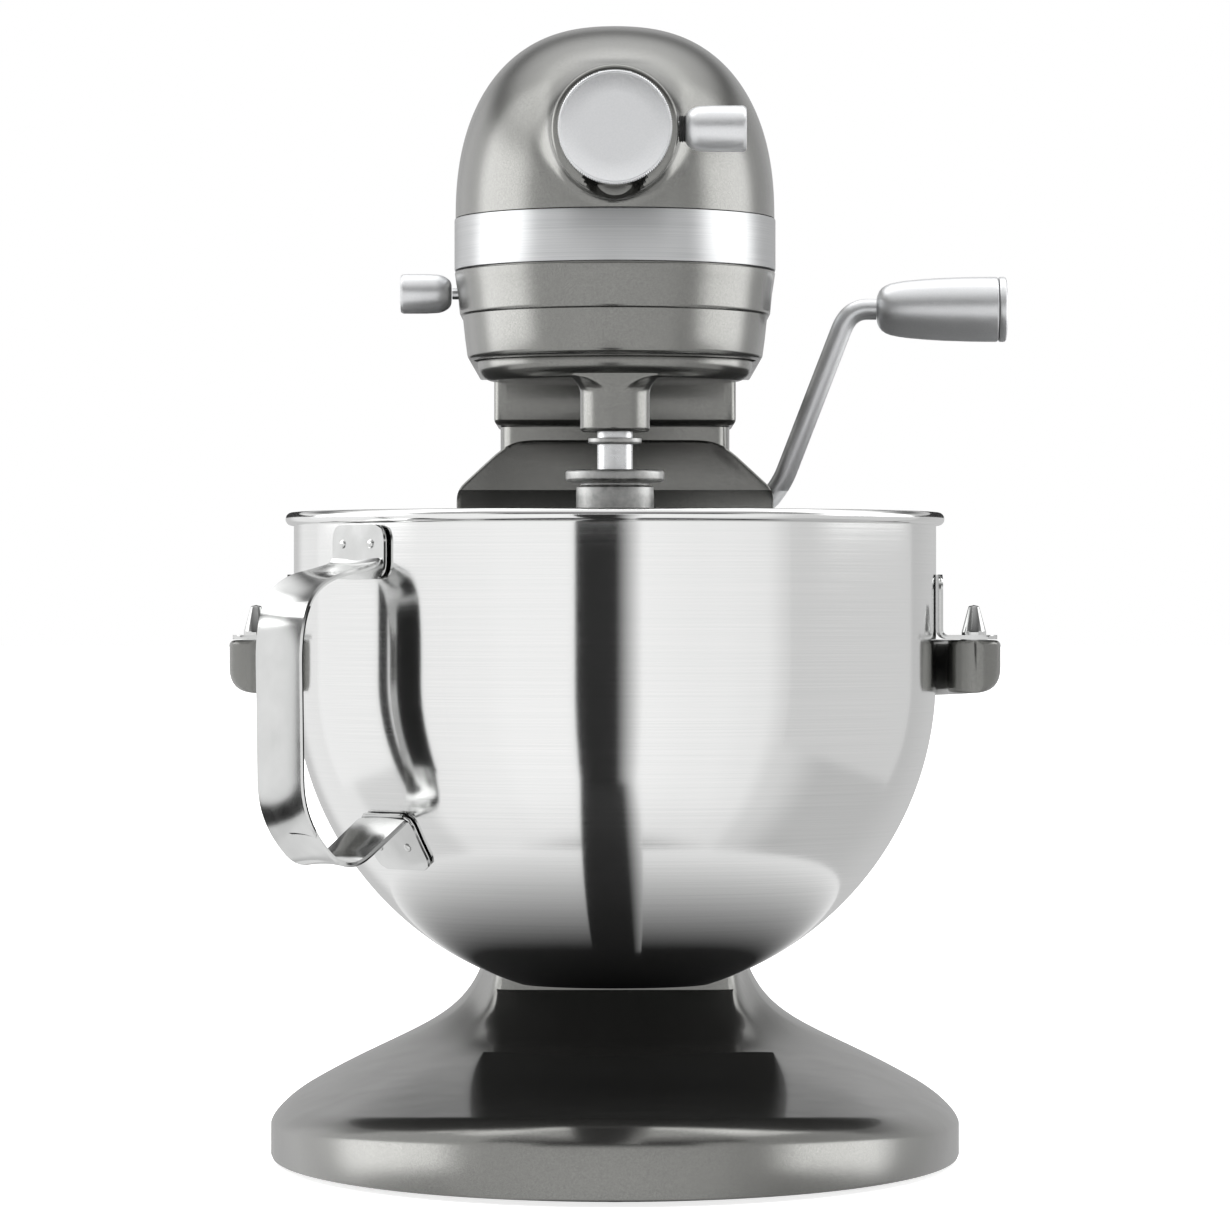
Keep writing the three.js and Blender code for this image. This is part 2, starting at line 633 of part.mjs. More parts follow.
const yokeBolt = () =>
  turned([[0, 141], [3, 141], [3, YOKE.frontY + 2.8], [5.2, YOKE.frontY + 2.8], [5.2, YOKE.frontY + 0.4],
    [0, YOKE.frontY + 0.4]].reverse(), "y", 16);

// Spring clip, open upwards, that holds the stud on the back of the bowl.
function latchClip() {
  const outline = [[-6.5, 212], [6.5, 212], [6.5, 228], [4.4, 229.5], [3.6, 226], [3.6, 216.5], [-3.6, 216.5],
    [-3.6, 226], [-4.4, 229.5], [-6.5, 228]];
  return slab(outline, YOKE.frontY - 3.4, YOKE.frontY - GAP, "xz");
}

// ---------------------------------------------------------------- bowl

function bowl() {
  const { radius, wall, bendZ, flatZ, rimRadius, rimTop } = BOWL;
  const arc = (r, from, to, steps) =>
    Array.from({ length: steps + 1 }, (_, i) => {
      const turn = radians(from + ((to - from) * i) / steps);
      return [r * Math.cos(turn), bendZ + r * Math.sin(turn)];
    });
  const flatTurn = -THREE.MathUtils.radToDeg(Math.asin((bendZ - flatZ) / radius));
  const innerTurn = -THREE.MathUtils.radToDeg(Math.asin((bendZ - flatZ - wall) / (radius - wall)));
  const outer = arc(radius, flatTurn, 0, 7);
  const inner = arc(radius - wall, 0, innerTurn, 6);
  return turned(
    [[0, flatZ], ...outer, [radius, rimTop - 4.6], [rimRadius - 0.6, rimTop - 4], [rimRadius, rimTop - 2],
      [rimRadius - 0.8, rimTop - 0.3], [radius + 0.6, rimTop], [radius - wall, rimTop - 1.2], ...inner,
      [0, flatZ + wall]],
    "z",
    32,
  );
}

// The folded strap: plate on the bowl's wall, grip, and plate on the bowl's curved flank.
function bowlHandle() {
  const { turn, reach, width, thickness, plateWidth } = HANDLE;
  const wallRadius = BOWL.radius + 1.2;
  const ribbon = (corners, rounding, breadth) => {
    const points = bent(corners.map(([r, z]) => new THREE.Vector3(r, z, 0)), rounding, 5);
    const edge = (side) =>
      points.map((point, i) => {
        const tangent = points[Math.min(i + 1, points.length - 1)].clone().sub(points[Math.max(i - 1, 0)]);
        tangent.normalize().multiplyScalar((side * thickness) / 2);
        return [point.x - tangent.y, point.y + tangent.x];
      });
    return slab([...edge(1), ...edge(-1).reverse()], -breadth / 2, breadth / 2, "xz");
  };
  const flank = (r) => [r, BOWL.bendZ - Math.sqrt((BOWL.radius + 1.4) ** 2 - r * r)];
  const strap = ribbon(
    [[wallRadius + 1, 219], [reach - 9, 214.5], [reach, 199], [reach - 1, 132], [reach - 20, 111],
      [106.8, 129.8]],
    9,
    width,
  );
  const top = slab([[wallRadius, 218], [wallRadius + 1.6, 218], [wallRadius + 1.6, 234], [wallRadius, 234]],
    -plateWidth / 2, plateWidth / 2, "xz");
  const [high, low] = [flank(106.4), flank(97)];
  const bottom = ribbon([high, low], 0.01, plateWidth);
  return join(strap, top, bottom).rotateZ(radians(-90 - turn));
}

function sideBracket() {
  const upright = box([116.75, 118.3], [-13, 13], [YOKE.armTop + GAP, 217]);
  const shelf = box([116.75, 138], [-13, 13], [YOKE.armTop + GAP, YOKE.armTop + 2]);
  return cut(join(upright, shelf), rod(4.8, 190, 200).translate((YOKE.armInner + YOKE.armOuter) / 2, 0, 0));
}

const rearStud = () =>
  join(box([-9, 9], [116.6, 118], [213, 229]), rod(3, 117, 121.3, "y", 16).translate(0, 0, 221));

// ---------------------------------------------------------------- drive

function planetaryDish() {
  const { radius, bottom, top, boss, bossBottom } = DISH;
  const rim = [0, 30, 60, 90].map((degrees) => [
    radius - 6 + 6 * Math.sin(radians(degrees)),
    bottom + 6 - 6 * Math.cos(radians(degrees)),
  ]);
  const dish = turned([[0, bottom], ...rim, [radius, top], [0, top]], "z", 28);
  const lug = turned(
    [[0, bossBottom], [boss - 1, bossBottom], [boss, bossBottom + 1], [boss, bottom - 4],
      [boss + 1.4, bottom - 1], [boss + 2.2, bottom + 1], [0, bottom + 1]],
    "z",
    28,
  ).translate(0, -ORBIT, 0);
  return cut(
    join(dish, lug),
    rod(7, bossBottom - 1, top + 1).translate(0, -ORBIT, 0),
    rod(CENTRE.shaft + GAP, bottom + 3, top + 1),
  );
}

function centreShaft() {
  return rod(CENTRE.shaft, DISH.bottom + 3.3, HUB.z - BEVEL.radius + 3);
}

function ringGear() {
  const pitch = (RING.teeth * RING.module) / 2;
  const [root, tip] = [pitch + 1.15 * RING.module, pitch - 0.8 * RING.module];
  const inside = toothOutline(RING.teeth, root, tip, -Math.PI / 2 + Math.PI / RING.teeth);
  const teeth = loft([lifted(inside, RING.bottom - 1), lifted(inside, RING.top + 1)]);
  return cut(rod(RING.outer, RING.bottom, RING.top, "z", 36), teeth);
}

function wormWheel() {
  const { wheelTeeth, module, width } = WORM;
  const pitch = (wheelTeeth * module) / 2;
  const outline = toothOutline(wheelTeeth, pitch - 1.8, pitch + 1, 0, 0.42, 0.22);
  const ends = [-width / 2, width / 2].map((z) => lifted(outline, z, 1, (-z * WHEEL_LEAN) / pitch));
  return cut(loft(ends), rod(JACK.shaft + GAP, -width, width, "z", 16));
}

function motorShaft() {
  const { starts, radius, from, to } = WORM;
  const outline = toothOutline(starts, radius - 1.8, radius + 1.2, WORM_PHASE, 0.46, 0.2);
  const steps = 14;
  const rings = Array.from({ length: steps + 1 }, (_, i) => {
    const z = ((to - from) * i) / steps;
    return lifted(outline, from + z, 1, (-2 * Math.PI * z) / WORM_LEAD);
  });
  const stub = rod(radius - 2.4, from - 2, from + 1, "z", 12);
  const spindle = turned([[0, to - 1], [MOTOR.shaft, to - 1], [MOTOR.shaft, 186], [0, 186]], "z", 12);
  return along("y", join(loft(rings), stub, spindle));
}

// The motor's rotor: its windings, then a sleeve, then the commutator at its rear.
const armature = () =>
  cut(turned([[0, 86], [12, 86], [15, 90], [MOTOR.armature, 93], [MOTOR.armature, 130], [15, 133], [12, 138],
    [7, 138], [7, 146], [12, 146], [12, 160], [0, 160]], "y", 24), rod(MOTOR.shaft + GAP, 80, 165, "y", 16));

function coolingFan() {
  const hub = rod(8, 64, 76, "y", 16);
  const blades = [0, 1, 2, 3, 4, 5, 6].map((i) =>
    box([-1, 1], [64, 76], [6, 30]).rotateY((2 * Math.PI * i) / 7 + 0.2),
  );
  const disc = rod(30, 74.5, 76, "y", 20);
  return cut(join(hub, disc, ...blades), rod(MOTOR.shaft + GAP, 60, 80, "y", 16));
}

function stator() {
  const ring = bush(MOTOR.armature + 1.5, MOTOR.stator - 4, 90, 134, "y", 28);
  const coils = [-1, 1].map((side) => box([side * 22 - 8, side * 22 + 8], [84, 140], [-18, 18]));
  return cut(join(ring, ...coils), rod(MOTOR.armature + 1.5, 80, 145, "y", 28));
}

function bearingPlate(y, thickness) {
  const bridge = box([-50, 50], [y, y + thickness], [-9, 9]);
  const spider = join(bridge, rod(12, y - 2, y + thickness + 2, "y", 24));
  return cut(spider, rod(MOTOR.shaft + GAP, y - 5, y + thickness + 5, "y", 16));
}

function hubDrive() {
  const { socketRadius, square } = HUB;
  const sleeve = turned([[0, -94], [socketRadius, -94], [socketRadius, -46], [6, -46], [6, -16], [0, -16]],
    "y", 28);
  return cut(sleeve, box([-square / 2, square / 2], [-95, -60], [-square / 2, square / 2]));
}

// ---------------------------------------------------------------- agitator and dough hook

function doughHook() {
  const { flangeTop, flange, radius, end, bore } = SLEEVE;
  const sleeve = turned(
    [[0, end - 8], [7, end - 8], [9, end], [radius, end + 10], [radius - 0.2, 245], [radius, 248.2],
      [radius - 1.6, 248.4], [radius - 1.6, 249.6], [flange - 0.6, 249.9], [flange, 250.6],
      [flange, flangeTop - 0.7], [flange - 0.7, flangeTop], [0, flangeTop]],
    "z",
    20,
  );
  const path = Array.from({ length: 13 }, (_, i) => {
    const share = i / 12;
    const swing = 36 * Math.sin(Math.PI * share) ** 1.3;
    const turn = -Math.PI / 2 + 2 * Math.PI * 0.8 * share;
    return new THREE.Vector3(swing * Math.cos(turn), swing * Math.sin(turn), end + 2 - 112 * share);
  });
  const section = new THREE.Shape().absarc(0, 0, 6.3, 0, 2 * Math.PI);
  const spiral = new THREE.ExtrudeGeometry(section, {
    steps: 18, curveSegments: 3, bevelEnabled: false, extrudePath: new THREE.CatmullRomCurve3(path),
  });
  return cut(
    join(sleeve, spiral),
    rod(bore, 219, 260),
    rod(9.8, 237.5, 243.5, "z", 24),
    box([-2.6, 2.6], [-9.8, 9.8], [240, 260]),
  );
}

const agitatorShaft = () =>
  cut(rod(6.35, 219.5, RING.top - GAP), rod(2.25, -10, 10, "x", 12).translate(0, 0, 240.5));

// ---------------------------------------------------------------- assembly

const mixer = new THREE.Group();
mixer.position.set(-MIDDLE.x, -MIDDLE.y, 0);

const stand = new THREE.Group();
piece(stand, "pedestal", pedestal(), PAINT);
piece(stand, "column", column(), PAINT);
PADS.forEach(([name, x, y]) => piece(stand, `foot_${name}`, footPad(), RUBBER, [x, y, 0]));
piece(stand, "gearcase", gearcase(), PAINT);
piece(stand, "upper_housing", upperHousing(), PAINT);
piece(stand, "hub_collar", hubCollar(), PAINT);
piece(stand, "end_cover", endCover(), PAINT);
piece(stand, "trim_band", trimBand(), BRUSHED);
const coverScrew = turned([[0, 209], [2, 209], [2, 231.2], [4, 231.2], [3.4, 233], [0, 233]], "y", 12);
piece(stand, "end_cover_screw", coverScrew, STEEL, [0, 0, 324]);
const gland = turned([[0, 284], [5, 284], [6.4, 292], [8.8, 292.4], [8.8, 293.9], [6.4, 293.9], [6.4, 302],
  [0, 302]], "z", 16);
piece(stand, "cord_gland", gland, RUBBER, [22, 212, 0]);
[-1, 1].forEach((side) => {
  const bolt = turned([[0, 256], [3, 256], [3, 299.3], [5.2, 299.3], [5.2, 303], [0, 303]], "z", 12);
  piece(stand, side < 0 ? "head_bolt_left" : "head_bolt_right", bolt, STEEL, [side * 28, 189, 0]);
});
piece(stand, "ring_gear", ringGear(), STEEL);
piece(stand, "motor_stator", stator(), COPPER, [0, 0, MOTOR.z]);
piece(stand, "front_bearing_plate", bearingPlate(50, 5), CAST, [0, 0, MOTOR.z]);
piece(stand, "rear_bearing_plate", bearingPlate(174, 5), CAST, [0, 0, MOTOR.z]);
[-1, 1].forEach((side) => {
  const holder = box([side * 19.6 - 7, side * 19.6 + 7], [149, 157], [-5, 5]);
  piece(stand, side < 0 ? "brush_holder_left" : "brush_holder_right", holder, BRASS, [0, 0, MOTOR.z]);
});
const hingePin = rod(HUB_COVER.pinRadius, -10, 10, "x", 12);
piece(stand, "hub_cover_pin", hingePin, STEEL, [0, HUB_COVER.pinY, HUB_COVER.pinZ]);
mixer.add(stand);

const lever = new THREE.Group();
piece(lever, "lift_lever_rod", leverRod(), SATIN);
piece(lever, "lift_lever_grip", leverGrip(), SATIN, [0, LIFT.y, GRIP.z]);
const gripCap = turned([[0, GRIP.to - 3], [GRIP.radius, GRIP.to - 3], [GRIP.radius, GRIP.to - 0.8],
  [GRIP.radius - 0.8, GRIP.to], [0, GRIP.to]], "x", 28);
piece(lever, "lift_lever_cap", gripCap, SATIN, [0, LIFT.y, GRIP.z]);
piece(lever, "lift_crank", liftCrank(), STEEL);
mixer.add(lever);

const yoke = new THREE.Group();
piece(yoke, "bowl_yoke", bowlYoke(), PAINT);
piece(yoke, "lift_carriage", liftCarriage(), CAST);
YOKE.boltZ.forEach((z, i) => piece(yoke, `yoke_bolt_${i + 1}`, yokeBolt(), STEEL, [0, 0, z]));
[-1, 1].forEach((side) => {
  const x = (side * (YOKE.armInner + YOKE.armOuter)) / 2;
  piece(yoke, side < 0 ? "locating_pin_left" : "locating_pin_right", locatingPin(), POLISHED, [x, 0, 0]);
});
piece(yoke, "bowl_latch_clip", latchClip(), STEEL);
mixer.add(yoke);

const vessel = new THREE.Group();
piece(vessel, "bowl", bowl(), BRUSHED);
piece(vessel, "bowl_handle", bowlHandle(), POLISHED);
piece(vessel, "bowl_bracket_right", sideBracket(), POLISHED);
piece(vessel, "bowl_bracket_left", sideBracket(), POLISHED).rotation.z = Math.PI;
piece(vessel, "bowl_rear_stud", rearStud(), POLISHED);
mixer.add(vessel);

const planetary = new THREE.Group();
piece(planetary, "planetary_dish", planetaryDish(), PAINT);
piece(planetary, "centre_shaft", centreShaft(), STEEL);
const centreGear = spurGear(CENTRE.teeth, CENTRE.module, CENTRE.top - CENTRE.bottom, CENTRE.shaft + GAP, 0);
piece(planetary, "centre_gear", centreGear, STEEL, [0, 0, CENTRE.bottom]);
const bevelZ = HUB.z - BEVEL.radius;
piece(planetary, "centre_bevel_gear", bevelGear(CENTRE.shaft + GAP, -Math.PI / 2), STEEL, [0, 0, bevelZ]);
mixer.add(planetary);

const agitator = new THREE.Group();
agitator.position.y = -ORBIT;
piece(agitator, "agitator_shaft", agitatorShaft(), STEEL);
const planetPinion = spurGear(PLANET_TEETH, RING.module, 8, 6.65, -Math.PI / 2);
piece(agitator, "planet_pinion", planetPinion, STEEL, [0, 0, 297]);
piece(agitator, "retaining_ring", bush(6.65, 9.5, 263.3, 265.5), CAST);
piece(agitator, "beater_pin", rod(2, -9, 9, "x", 12), STEEL, [0, 0, 240.5]);
piece(agitator, "dough_hook", doughHook(), CAST);
mixer.add(agitator);

const jack = new THREE.Group();
jack.position.set(JACK.x, JACK.y, 0);
const jackPinion = spurGear(JACK.teeth, CENTRE.module, 9, 0, JACK_PHASE).translate(0, 0, 312.6);
piece(jack, "jack_shaft", join(jackPinion, rod(JACK.shaft, 312.6, 350)), STEEL);
piece(jack, "worm_wheel", wormWheel(), BRASS, [0, 0, MOTOR.z]);
mixer.add(jack);

const motor = new THREE.Group();
motor.position.z = MOTOR.z;
piece(motor, "motor_shaft", motorShaft(), STEEL);
piece(motor, "armature", armature(), COPPER);
piece(motor, "cooling_fan", coolingFan(), PLASTIC);
mixer.add(motor);

const hub = new THREE.Group();
hub.position.z = HUB.z;
piece(hub, "hub_drive_shaft", hubDrive(), STEEL);
const hubBevel = bevelGear(6 + GAP, HUB_BEVEL_PHASE).rotateX(-Math.PI / 2);
piece(hub, "hub_bevel_gear", hubBevel, STEEL, [0, -BEVEL.radius, 0]);
mixer.add(hub);

piece(mixer, "hub_cover", hubCover(), SATIN);
const knobAt = [0, HUB_KNOB.y, HUB.z];
piece(mixer, "attachment_screw", rod(2.7, 13, HUB_KNOB.neckFrom + 1.6, "x", 16), STEEL, knobAt);
piece(mixer, "attachment_knob", bullet(HUB_KNOB.radius, HUB_KNOB.bulletFrom, HUB_KNOB.to), SATIN, knobAt);
piece(mixer, "speed_link", speedControl(), STEEL);
const speedKnob = bullet(SPEED.knobRadius, SPEED.from, SPEED.to).rotateZ(Math.PI);
piece(mixer, "speed_knob", speedKnob, SATIN, [0, 0, SPEED.z]);

const machine = new THREE.Group();
machine.add(mixer);

export default machine;
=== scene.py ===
"""A bowl-lift stand mixer in grey metallic paint, on a pale studio floor.

Every length is in millimetres from the bowl's axis on the table: X right, Y to the rear, Z up.
Shapes are (points, faces) pairs until add() places them in the frame, in metres.
"""

import json
import math

import bmesh
import bpy
from mathutils import Matrix, Vector


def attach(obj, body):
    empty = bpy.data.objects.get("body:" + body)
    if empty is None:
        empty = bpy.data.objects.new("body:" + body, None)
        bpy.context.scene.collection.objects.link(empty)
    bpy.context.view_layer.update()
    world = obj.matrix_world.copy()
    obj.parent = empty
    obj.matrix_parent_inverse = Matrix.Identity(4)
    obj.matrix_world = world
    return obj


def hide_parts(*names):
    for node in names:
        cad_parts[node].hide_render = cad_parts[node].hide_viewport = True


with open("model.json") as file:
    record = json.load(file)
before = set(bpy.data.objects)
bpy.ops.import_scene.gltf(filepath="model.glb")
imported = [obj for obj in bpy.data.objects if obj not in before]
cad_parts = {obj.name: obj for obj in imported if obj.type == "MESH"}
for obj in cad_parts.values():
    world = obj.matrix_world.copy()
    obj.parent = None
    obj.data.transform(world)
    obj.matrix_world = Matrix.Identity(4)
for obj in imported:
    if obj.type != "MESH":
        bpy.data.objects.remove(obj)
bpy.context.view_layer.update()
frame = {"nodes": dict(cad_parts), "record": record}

# ---------------------------------------------------------------- driving dimensions

ORIGIN = Vector((-5, -45, 0))  # where the bowl's axis stands in the frame
MM = 0.001

HEAD_HALF_WIDTH, NOSE_Y, NOSE_LENGTH, CREST_Y, HEAD_REAR_Y = 57.4, -88, 75, 20, 196
BAND_BOTTOM, BAND_TOP, HEAD_TOP, HEAD_BOTTOM = 326, 345, 416.2, 294.5
FLANK_POWER, BROW_POWER = 2.3, 2.4
COVER_BACK_Y, COVER_WALL = 231, 3
HUB_Z, HUB_FACE_Y, HUB_RADIUS, HUB_BORE = 371.7, -99.6, 22.2, 17.2
ORBIT = 35
BOWL_RADIUS, BOWL_WALL, BOWL_BEND_Z, BOWL_FLAT_Z, RIM_RADIUS, RIM_TOP = 116.2, 1.2, 180, 69, 119.2, 239.4
HANDLE_TURN = math.radians(-140)
ARM_INNER, ARM_OUTER, ARM_BOTTOM, ARM_TOP, ARM_SWEEP = 120.3, 139.7, 174.2, 193.3, 66
ARM_MIDDLE = (ARM_INNER + ARM_OUTER) / 2
YOKE_FRONT_Y, YOKE_PLATE = 122, 5.7
LIFT_Y, LIFT_Z, GRIP_Z = 145, 245, 319.8
FOOT_HALF_WIDTH, FOOT_CENTRE_Y, FOOT_FRONT, FOOT_REAR, FOOT_BOTTOM = 128, 73.6, 213, 141.4, 2
FLARE_HEIGHT, FLARE, FLARE_OFFSET, FOOT_WALL = 28, 570, 7, 6
COLUMN_HALF_WIDTH, COLUMN_FRONT_Y, COLUMN_REAR_Y, COLUMN_TOP = 44, 128, 196, 274.3
PADS = {
    "front": (0, -108), "left": (-74, -58), "right": (74, -58),
    "rear_left": (-82, 150), "rear_right": (82, 150),
}
SPEED_Z = 318.7

# ---------------------------------------------------------------- shapes


def joined(*shapes):
    """Several shapes as one."""
    points, faces = [], []
    for more_points, more_faces in shapes:
        start = len(points)
        points += more_points
        faces += [tuple(start + i for i in face) for face in more_faces]
    return points, faces


def moved(shape, by=(0, 0, 0), turn=0, axis="Z"):
    """The shape turned about an axis through the origin, then moved."""
    matrix = Matrix.Translation(by) @ Matrix.Rotation(turn, 4, axis)
    return [matrix @ Vector(p) for p in shape[0]], shape[1]


def loft(rings, closed=True, caps=(True, True)):
    """A skin through rings with the same number of points."""
    count = len(rings[0])
    points = [Vector(p) for ring in rings for p in ring]
    faces = []
    for low in range(0, (len(rings) - 1) * count, count):
        for i in range(count if closed else count - 1):
            j = (i + 1) % count
            faces.append((low + i, low + j, low + count + j, low + count + i))
    if caps[0]:
        faces.append(tuple(range(count))[::-1])
    if caps[1]:
        faces.append(tuple(range(len(points) - count, len(points))))
    return points, faces


def fillet(corners, reach, steps=5):
    """Corner points with each inner corner replaced by a short curve."""
    corners = [Vector(c) for c in corners]
    line = [corners[0]]
    for before, corner, after in zip(corners, corners[1:], corners[2:]):
        enter = corner.lerp(before, min(reach / (corner - before).length, 0.5))
        leave = corner.lerp(after, min(reach / (corner - after).length, 0.5))
        for k in range(steps + 1):
            t = k / steps
            line.append(enter.lerp(corner, t).lerp(corner.lerp(leave, t), t))
    return line + [corners[-1]]


def lathe(profile, axis="z", segments=96, radius_at=None):
    """A solid of revolution from (radius, height) points; radius_at can vary the radius by step."""
    rings = []
    for step in range(segments):
        turn = 2 * math.pi * step / segments
        ring = []
        for radius, height in profile:
            r = radius if radius_at is None else radius_at(radius, height, step)
            across, up = r * math.cos(turn), r * math.sin(turn)
            places = {"z": (across, up, height), "x": (height, across, up), "y": (up, height, across)}
            ring.append(places[axis])
        rings.append(ring)
    return loft(rings + [rings[0]], closed=False, caps=(False, False))


def tube(path, radius, sides=24):
    """A round bar along a path; radius is a number or one for each point."""
    path = [Vector(p) for p in path]
    radii = radius if isinstance(radius, list) else [radius] * len(path)
    rings = []
    across = None
    for i, point in enumerate(path):
        tangent = (path[min(i + 1, len(path) - 1)] - path[max(i - 1, 0)]).normalized()
        if across is None:
            across = tangent.orthogonal().normalized()
        across = (across - tangent * across.dot(tangent)).normalized()
        other = tangent.cross(across)
        turns = [2 * math.pi * k / sides for k in range(sides)]
        rings.append([point + radii[i] * (across * math.cos(t) + other * math.sin(t)) for t in turns])
    return loft(rings)


def strap(path, half_width, thickness, crown=0.0, sides=8):
    """A flat strap along a path in the XZ plane, as wide as half_width says at each length share."""
    path = [Vector(p) for p in path]
    lengths = [0.0]
    for a, b in zip(path, path[1:]):
        lengths.append(lengths[-1] + (b - a).length)
    edge = thickness / 2
    rings = []
    for i, point in enumerate(path):
        tangent = (path[min(i + 1, len(path) - 1)] - path[max(i - 1, 0)]).normalized()
        out = Vector((0, 1, 0)).cross(tangent)
        half = half_width(lengths[i], lengths[-1])
        section = [(side / sides * (half - edge * 0.5), 1) for side in range(-sides, sides + 1)]
        section += [(half, 0)] + [(a, -1) for a, _ in reversed(section)] + [(-half, 0)]
        ring = []
        for a, side in section:
            rise = crown * (1 - (a / half) ** 2) if half else 0
            ring.append(point + Vector((0, a, 0)) + out * (side * edge + rise))
        rings.append(ring)
    return loft(rings)


def slab(outline, low, high, plane="xy", bevel=0.0, segments=3):
    """An outline extruded along the axis its plane leaves out, with its edges rounded."""
    put = {
        "xy": lambda a, b, c: (a, b, c), "xz": lambda a, b, c: (a, c, b), "yz": lambda a, b, c: (c, a, b),
    }[plane]
    points, faces = loft([[put(a, b, at) for a, b in outline] for at in (low, high)])
    if not bevel:
        return points, faces
    shape = bmesh.new()
    made = [shape.verts.new(p) for p in points]
    for face in faces:
        shape.faces.new([made[i] for i in face])
    bmesh.ops.recalc_face_normals(shape, faces=shape.faces)
    edges = [e for e in shape.edges if e.calc_face_angle(0) > math.radians(35)]
    bmesh.ops.bevel(shape, geom=edges, offset=bevel, segments=segments, profile=0.5, affect="EDGES")
    shape.verts.index_update()
    result = [v.co.copy() for v in shape.verts], [tuple(v.index for v in f.verts) for f in shape.faces]
    shape.free()
    return result


def add(name, shape, slot, body, nodes=(), sharp=32, cutters=()):
    """Puts a shape in the scene as a piece that rides on a body and stands for CAD nodes."""
    mesh = bpy.data.meshes.new(name)
    points, faces = shape
    mesh.from_pydata([(Vector(p) + ORIGIN) * MM for p in points], [], faces)
    clean = bmesh.new()
    clean.from_mesh(mesh)
    bmesh.ops.remove_doubles(clean, verts=clean.verts, dist=2e-6)
    bmesh.ops.dissolve_degenerate(clean, edges=clean.edges, dist=1e-6)
    bmesh.ops.recalc_face_normals(clean, faces=clean.faces)
    clean.to_mesh(mesh)
    clean.free()
    piece = bpy.data.objects.new(name, mesh)
    bpy.context.collection.objects.link(piece)
    if cutters:
        carve(piece, joined(*cutters))
        mesh = piece.data
    mesh.polygons.foreach_set("use_smooth", [True] * len(mesh.polygons))
    mesh.set_sharp_from_angle(angle=math.radians(sharp))
    mesh.materials.clear()
    mesh.materials.append(FINISHES[slot])
    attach(piece, body)
    if nodes:
        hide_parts(*nodes)
    return piece


def carve(piece, tool_shape):
    """Cuts a closed shape out of a piece."""
    mesh = bpy.data.meshes.new("cutter")
    mesh.from_pydata([(Vector(p) + ORIGIN) * MM for p in tool_shape[0]], [], tool_shape[1])
    clean = bmesh.new()
    clean.from_mesh(mesh)
    bmesh.ops.remove_doubles(clean, verts=clean.verts, dist=2e-6)
    bmesh.ops.recalc_face_normals(clean, faces=clean.faces)
    clean.to_mesh(mesh)
    clean.free()
    tool = bpy.data.objects.new("cutter", mesh)
    bpy.context.collection.objects.link(tool)
    modifier = piece.modifiers.new("cut", "BOOLEAN")
    modifier.object = tool
    modifier.solver = "EXACT"
    done = bpy.data.meshes.new_from_object(piece.evaluated_get(bpy.context.evaluated_depsgraph_get()))
    piece.modifiers.clear()
    piece.data = done
    bpy.data.objects.remove(tool)


# ---------------------------------------------------------------- materials


def new_material(name):
    material = bpy.data.materials.new(name)
    material.use_nodes = True
    tree = material.node_tree
    return material, tree, tree.nodes["Principled BSDF"]


def noise(tree, scale, stretch=(1, 1, 1), detail=3.0):
    """Noise in the object's own coordinates, stretched by axis."""
    where = tree.nodes.new("ShaderNodeTexCoord")
    mapping = tree.nodes.new("ShaderNodeMapping")
    mapping.inputs["Scale"].default_value = stretch
    texture = tree.nodes.new("ShaderNodeTexNoise")
    texture.inputs["Scale"].default_value = scale
    texture.inputs["Detail"].default_value = detail
    tree.links.new(where.outputs["Object"], mapping.inputs["Vector"])
    tree.links.new(mapping.outputs["Vector"], texture.inputs["Vector"])
    return texture.outputs["Fac"]


def spread(tree, value, low, high, spread_from=0.3, spread_to=0.7):
    """The value's middle range carried to low..high."""
    node = tree.nodes.new("ShaderNodeMapRange")
    node.inputs["From Min"].default_value = spread_from
    node.inputs["From Max"].default_value = spread_to
    node.inputs["To Min"].default_value = low
    node.inputs["To Max"].default_value = high
    tree.links.new(value, node.inputs["Value"])
    return node.outputs["Result"]


def tinted(tree, value, dark, light):
    ramp = tree.nodes.new("ShaderNodeValToRGB")
    ramp.color_ramp.elements[0].color = (*dark, 1)
    ramp.color_ramp.elements[1].color = (*light, 1)
    ramp.color_ramp.elements[0].position = 0.3
    ramp.color_ramp.elements[1].position = 0.7
    tree.links.new(value, ramp.inputs["Fac"])
    return ramp.outputs["Color"]


def bumped(tree, shader, height, strength, distance):
    bump = tree.nodes.new("ShaderNodeBump")
    bump.inputs["Strength"].default_value = strength
    bump.inputs["Distance"].default_value = distance
    tree.links.new(height, bump.inputs["Height"])
    tree.links.new(bump.outputs["Normal"], shader.inputs["Normal"])


def metallic_paint():
    """Fine aluminium flakes under a clear coat."""
    material, tree, shader = new_material("metallic_paint")
    flakes = noise(tree, 1800, detail=2)
    paint = tinted(tree, flakes, (0.2, 0.2, 0.191), (0.245, 0.245, 0.233))
    tree.links.new(paint, shader.inputs["Base Color"])
    tree.links.new(spread(tree, noise(tree, 60), 0.23, 0.26), shader.inputs["Roughness"])
    shader.inputs["Metallic"].default_value = 0.95
    shader.inputs["Coat Weight"].default_value = 0.3
    shader.inputs["Coat Roughness"].default_value = 0.06
    bumped(tree, shader, flakes, 0.03, 0.0001)
    return material


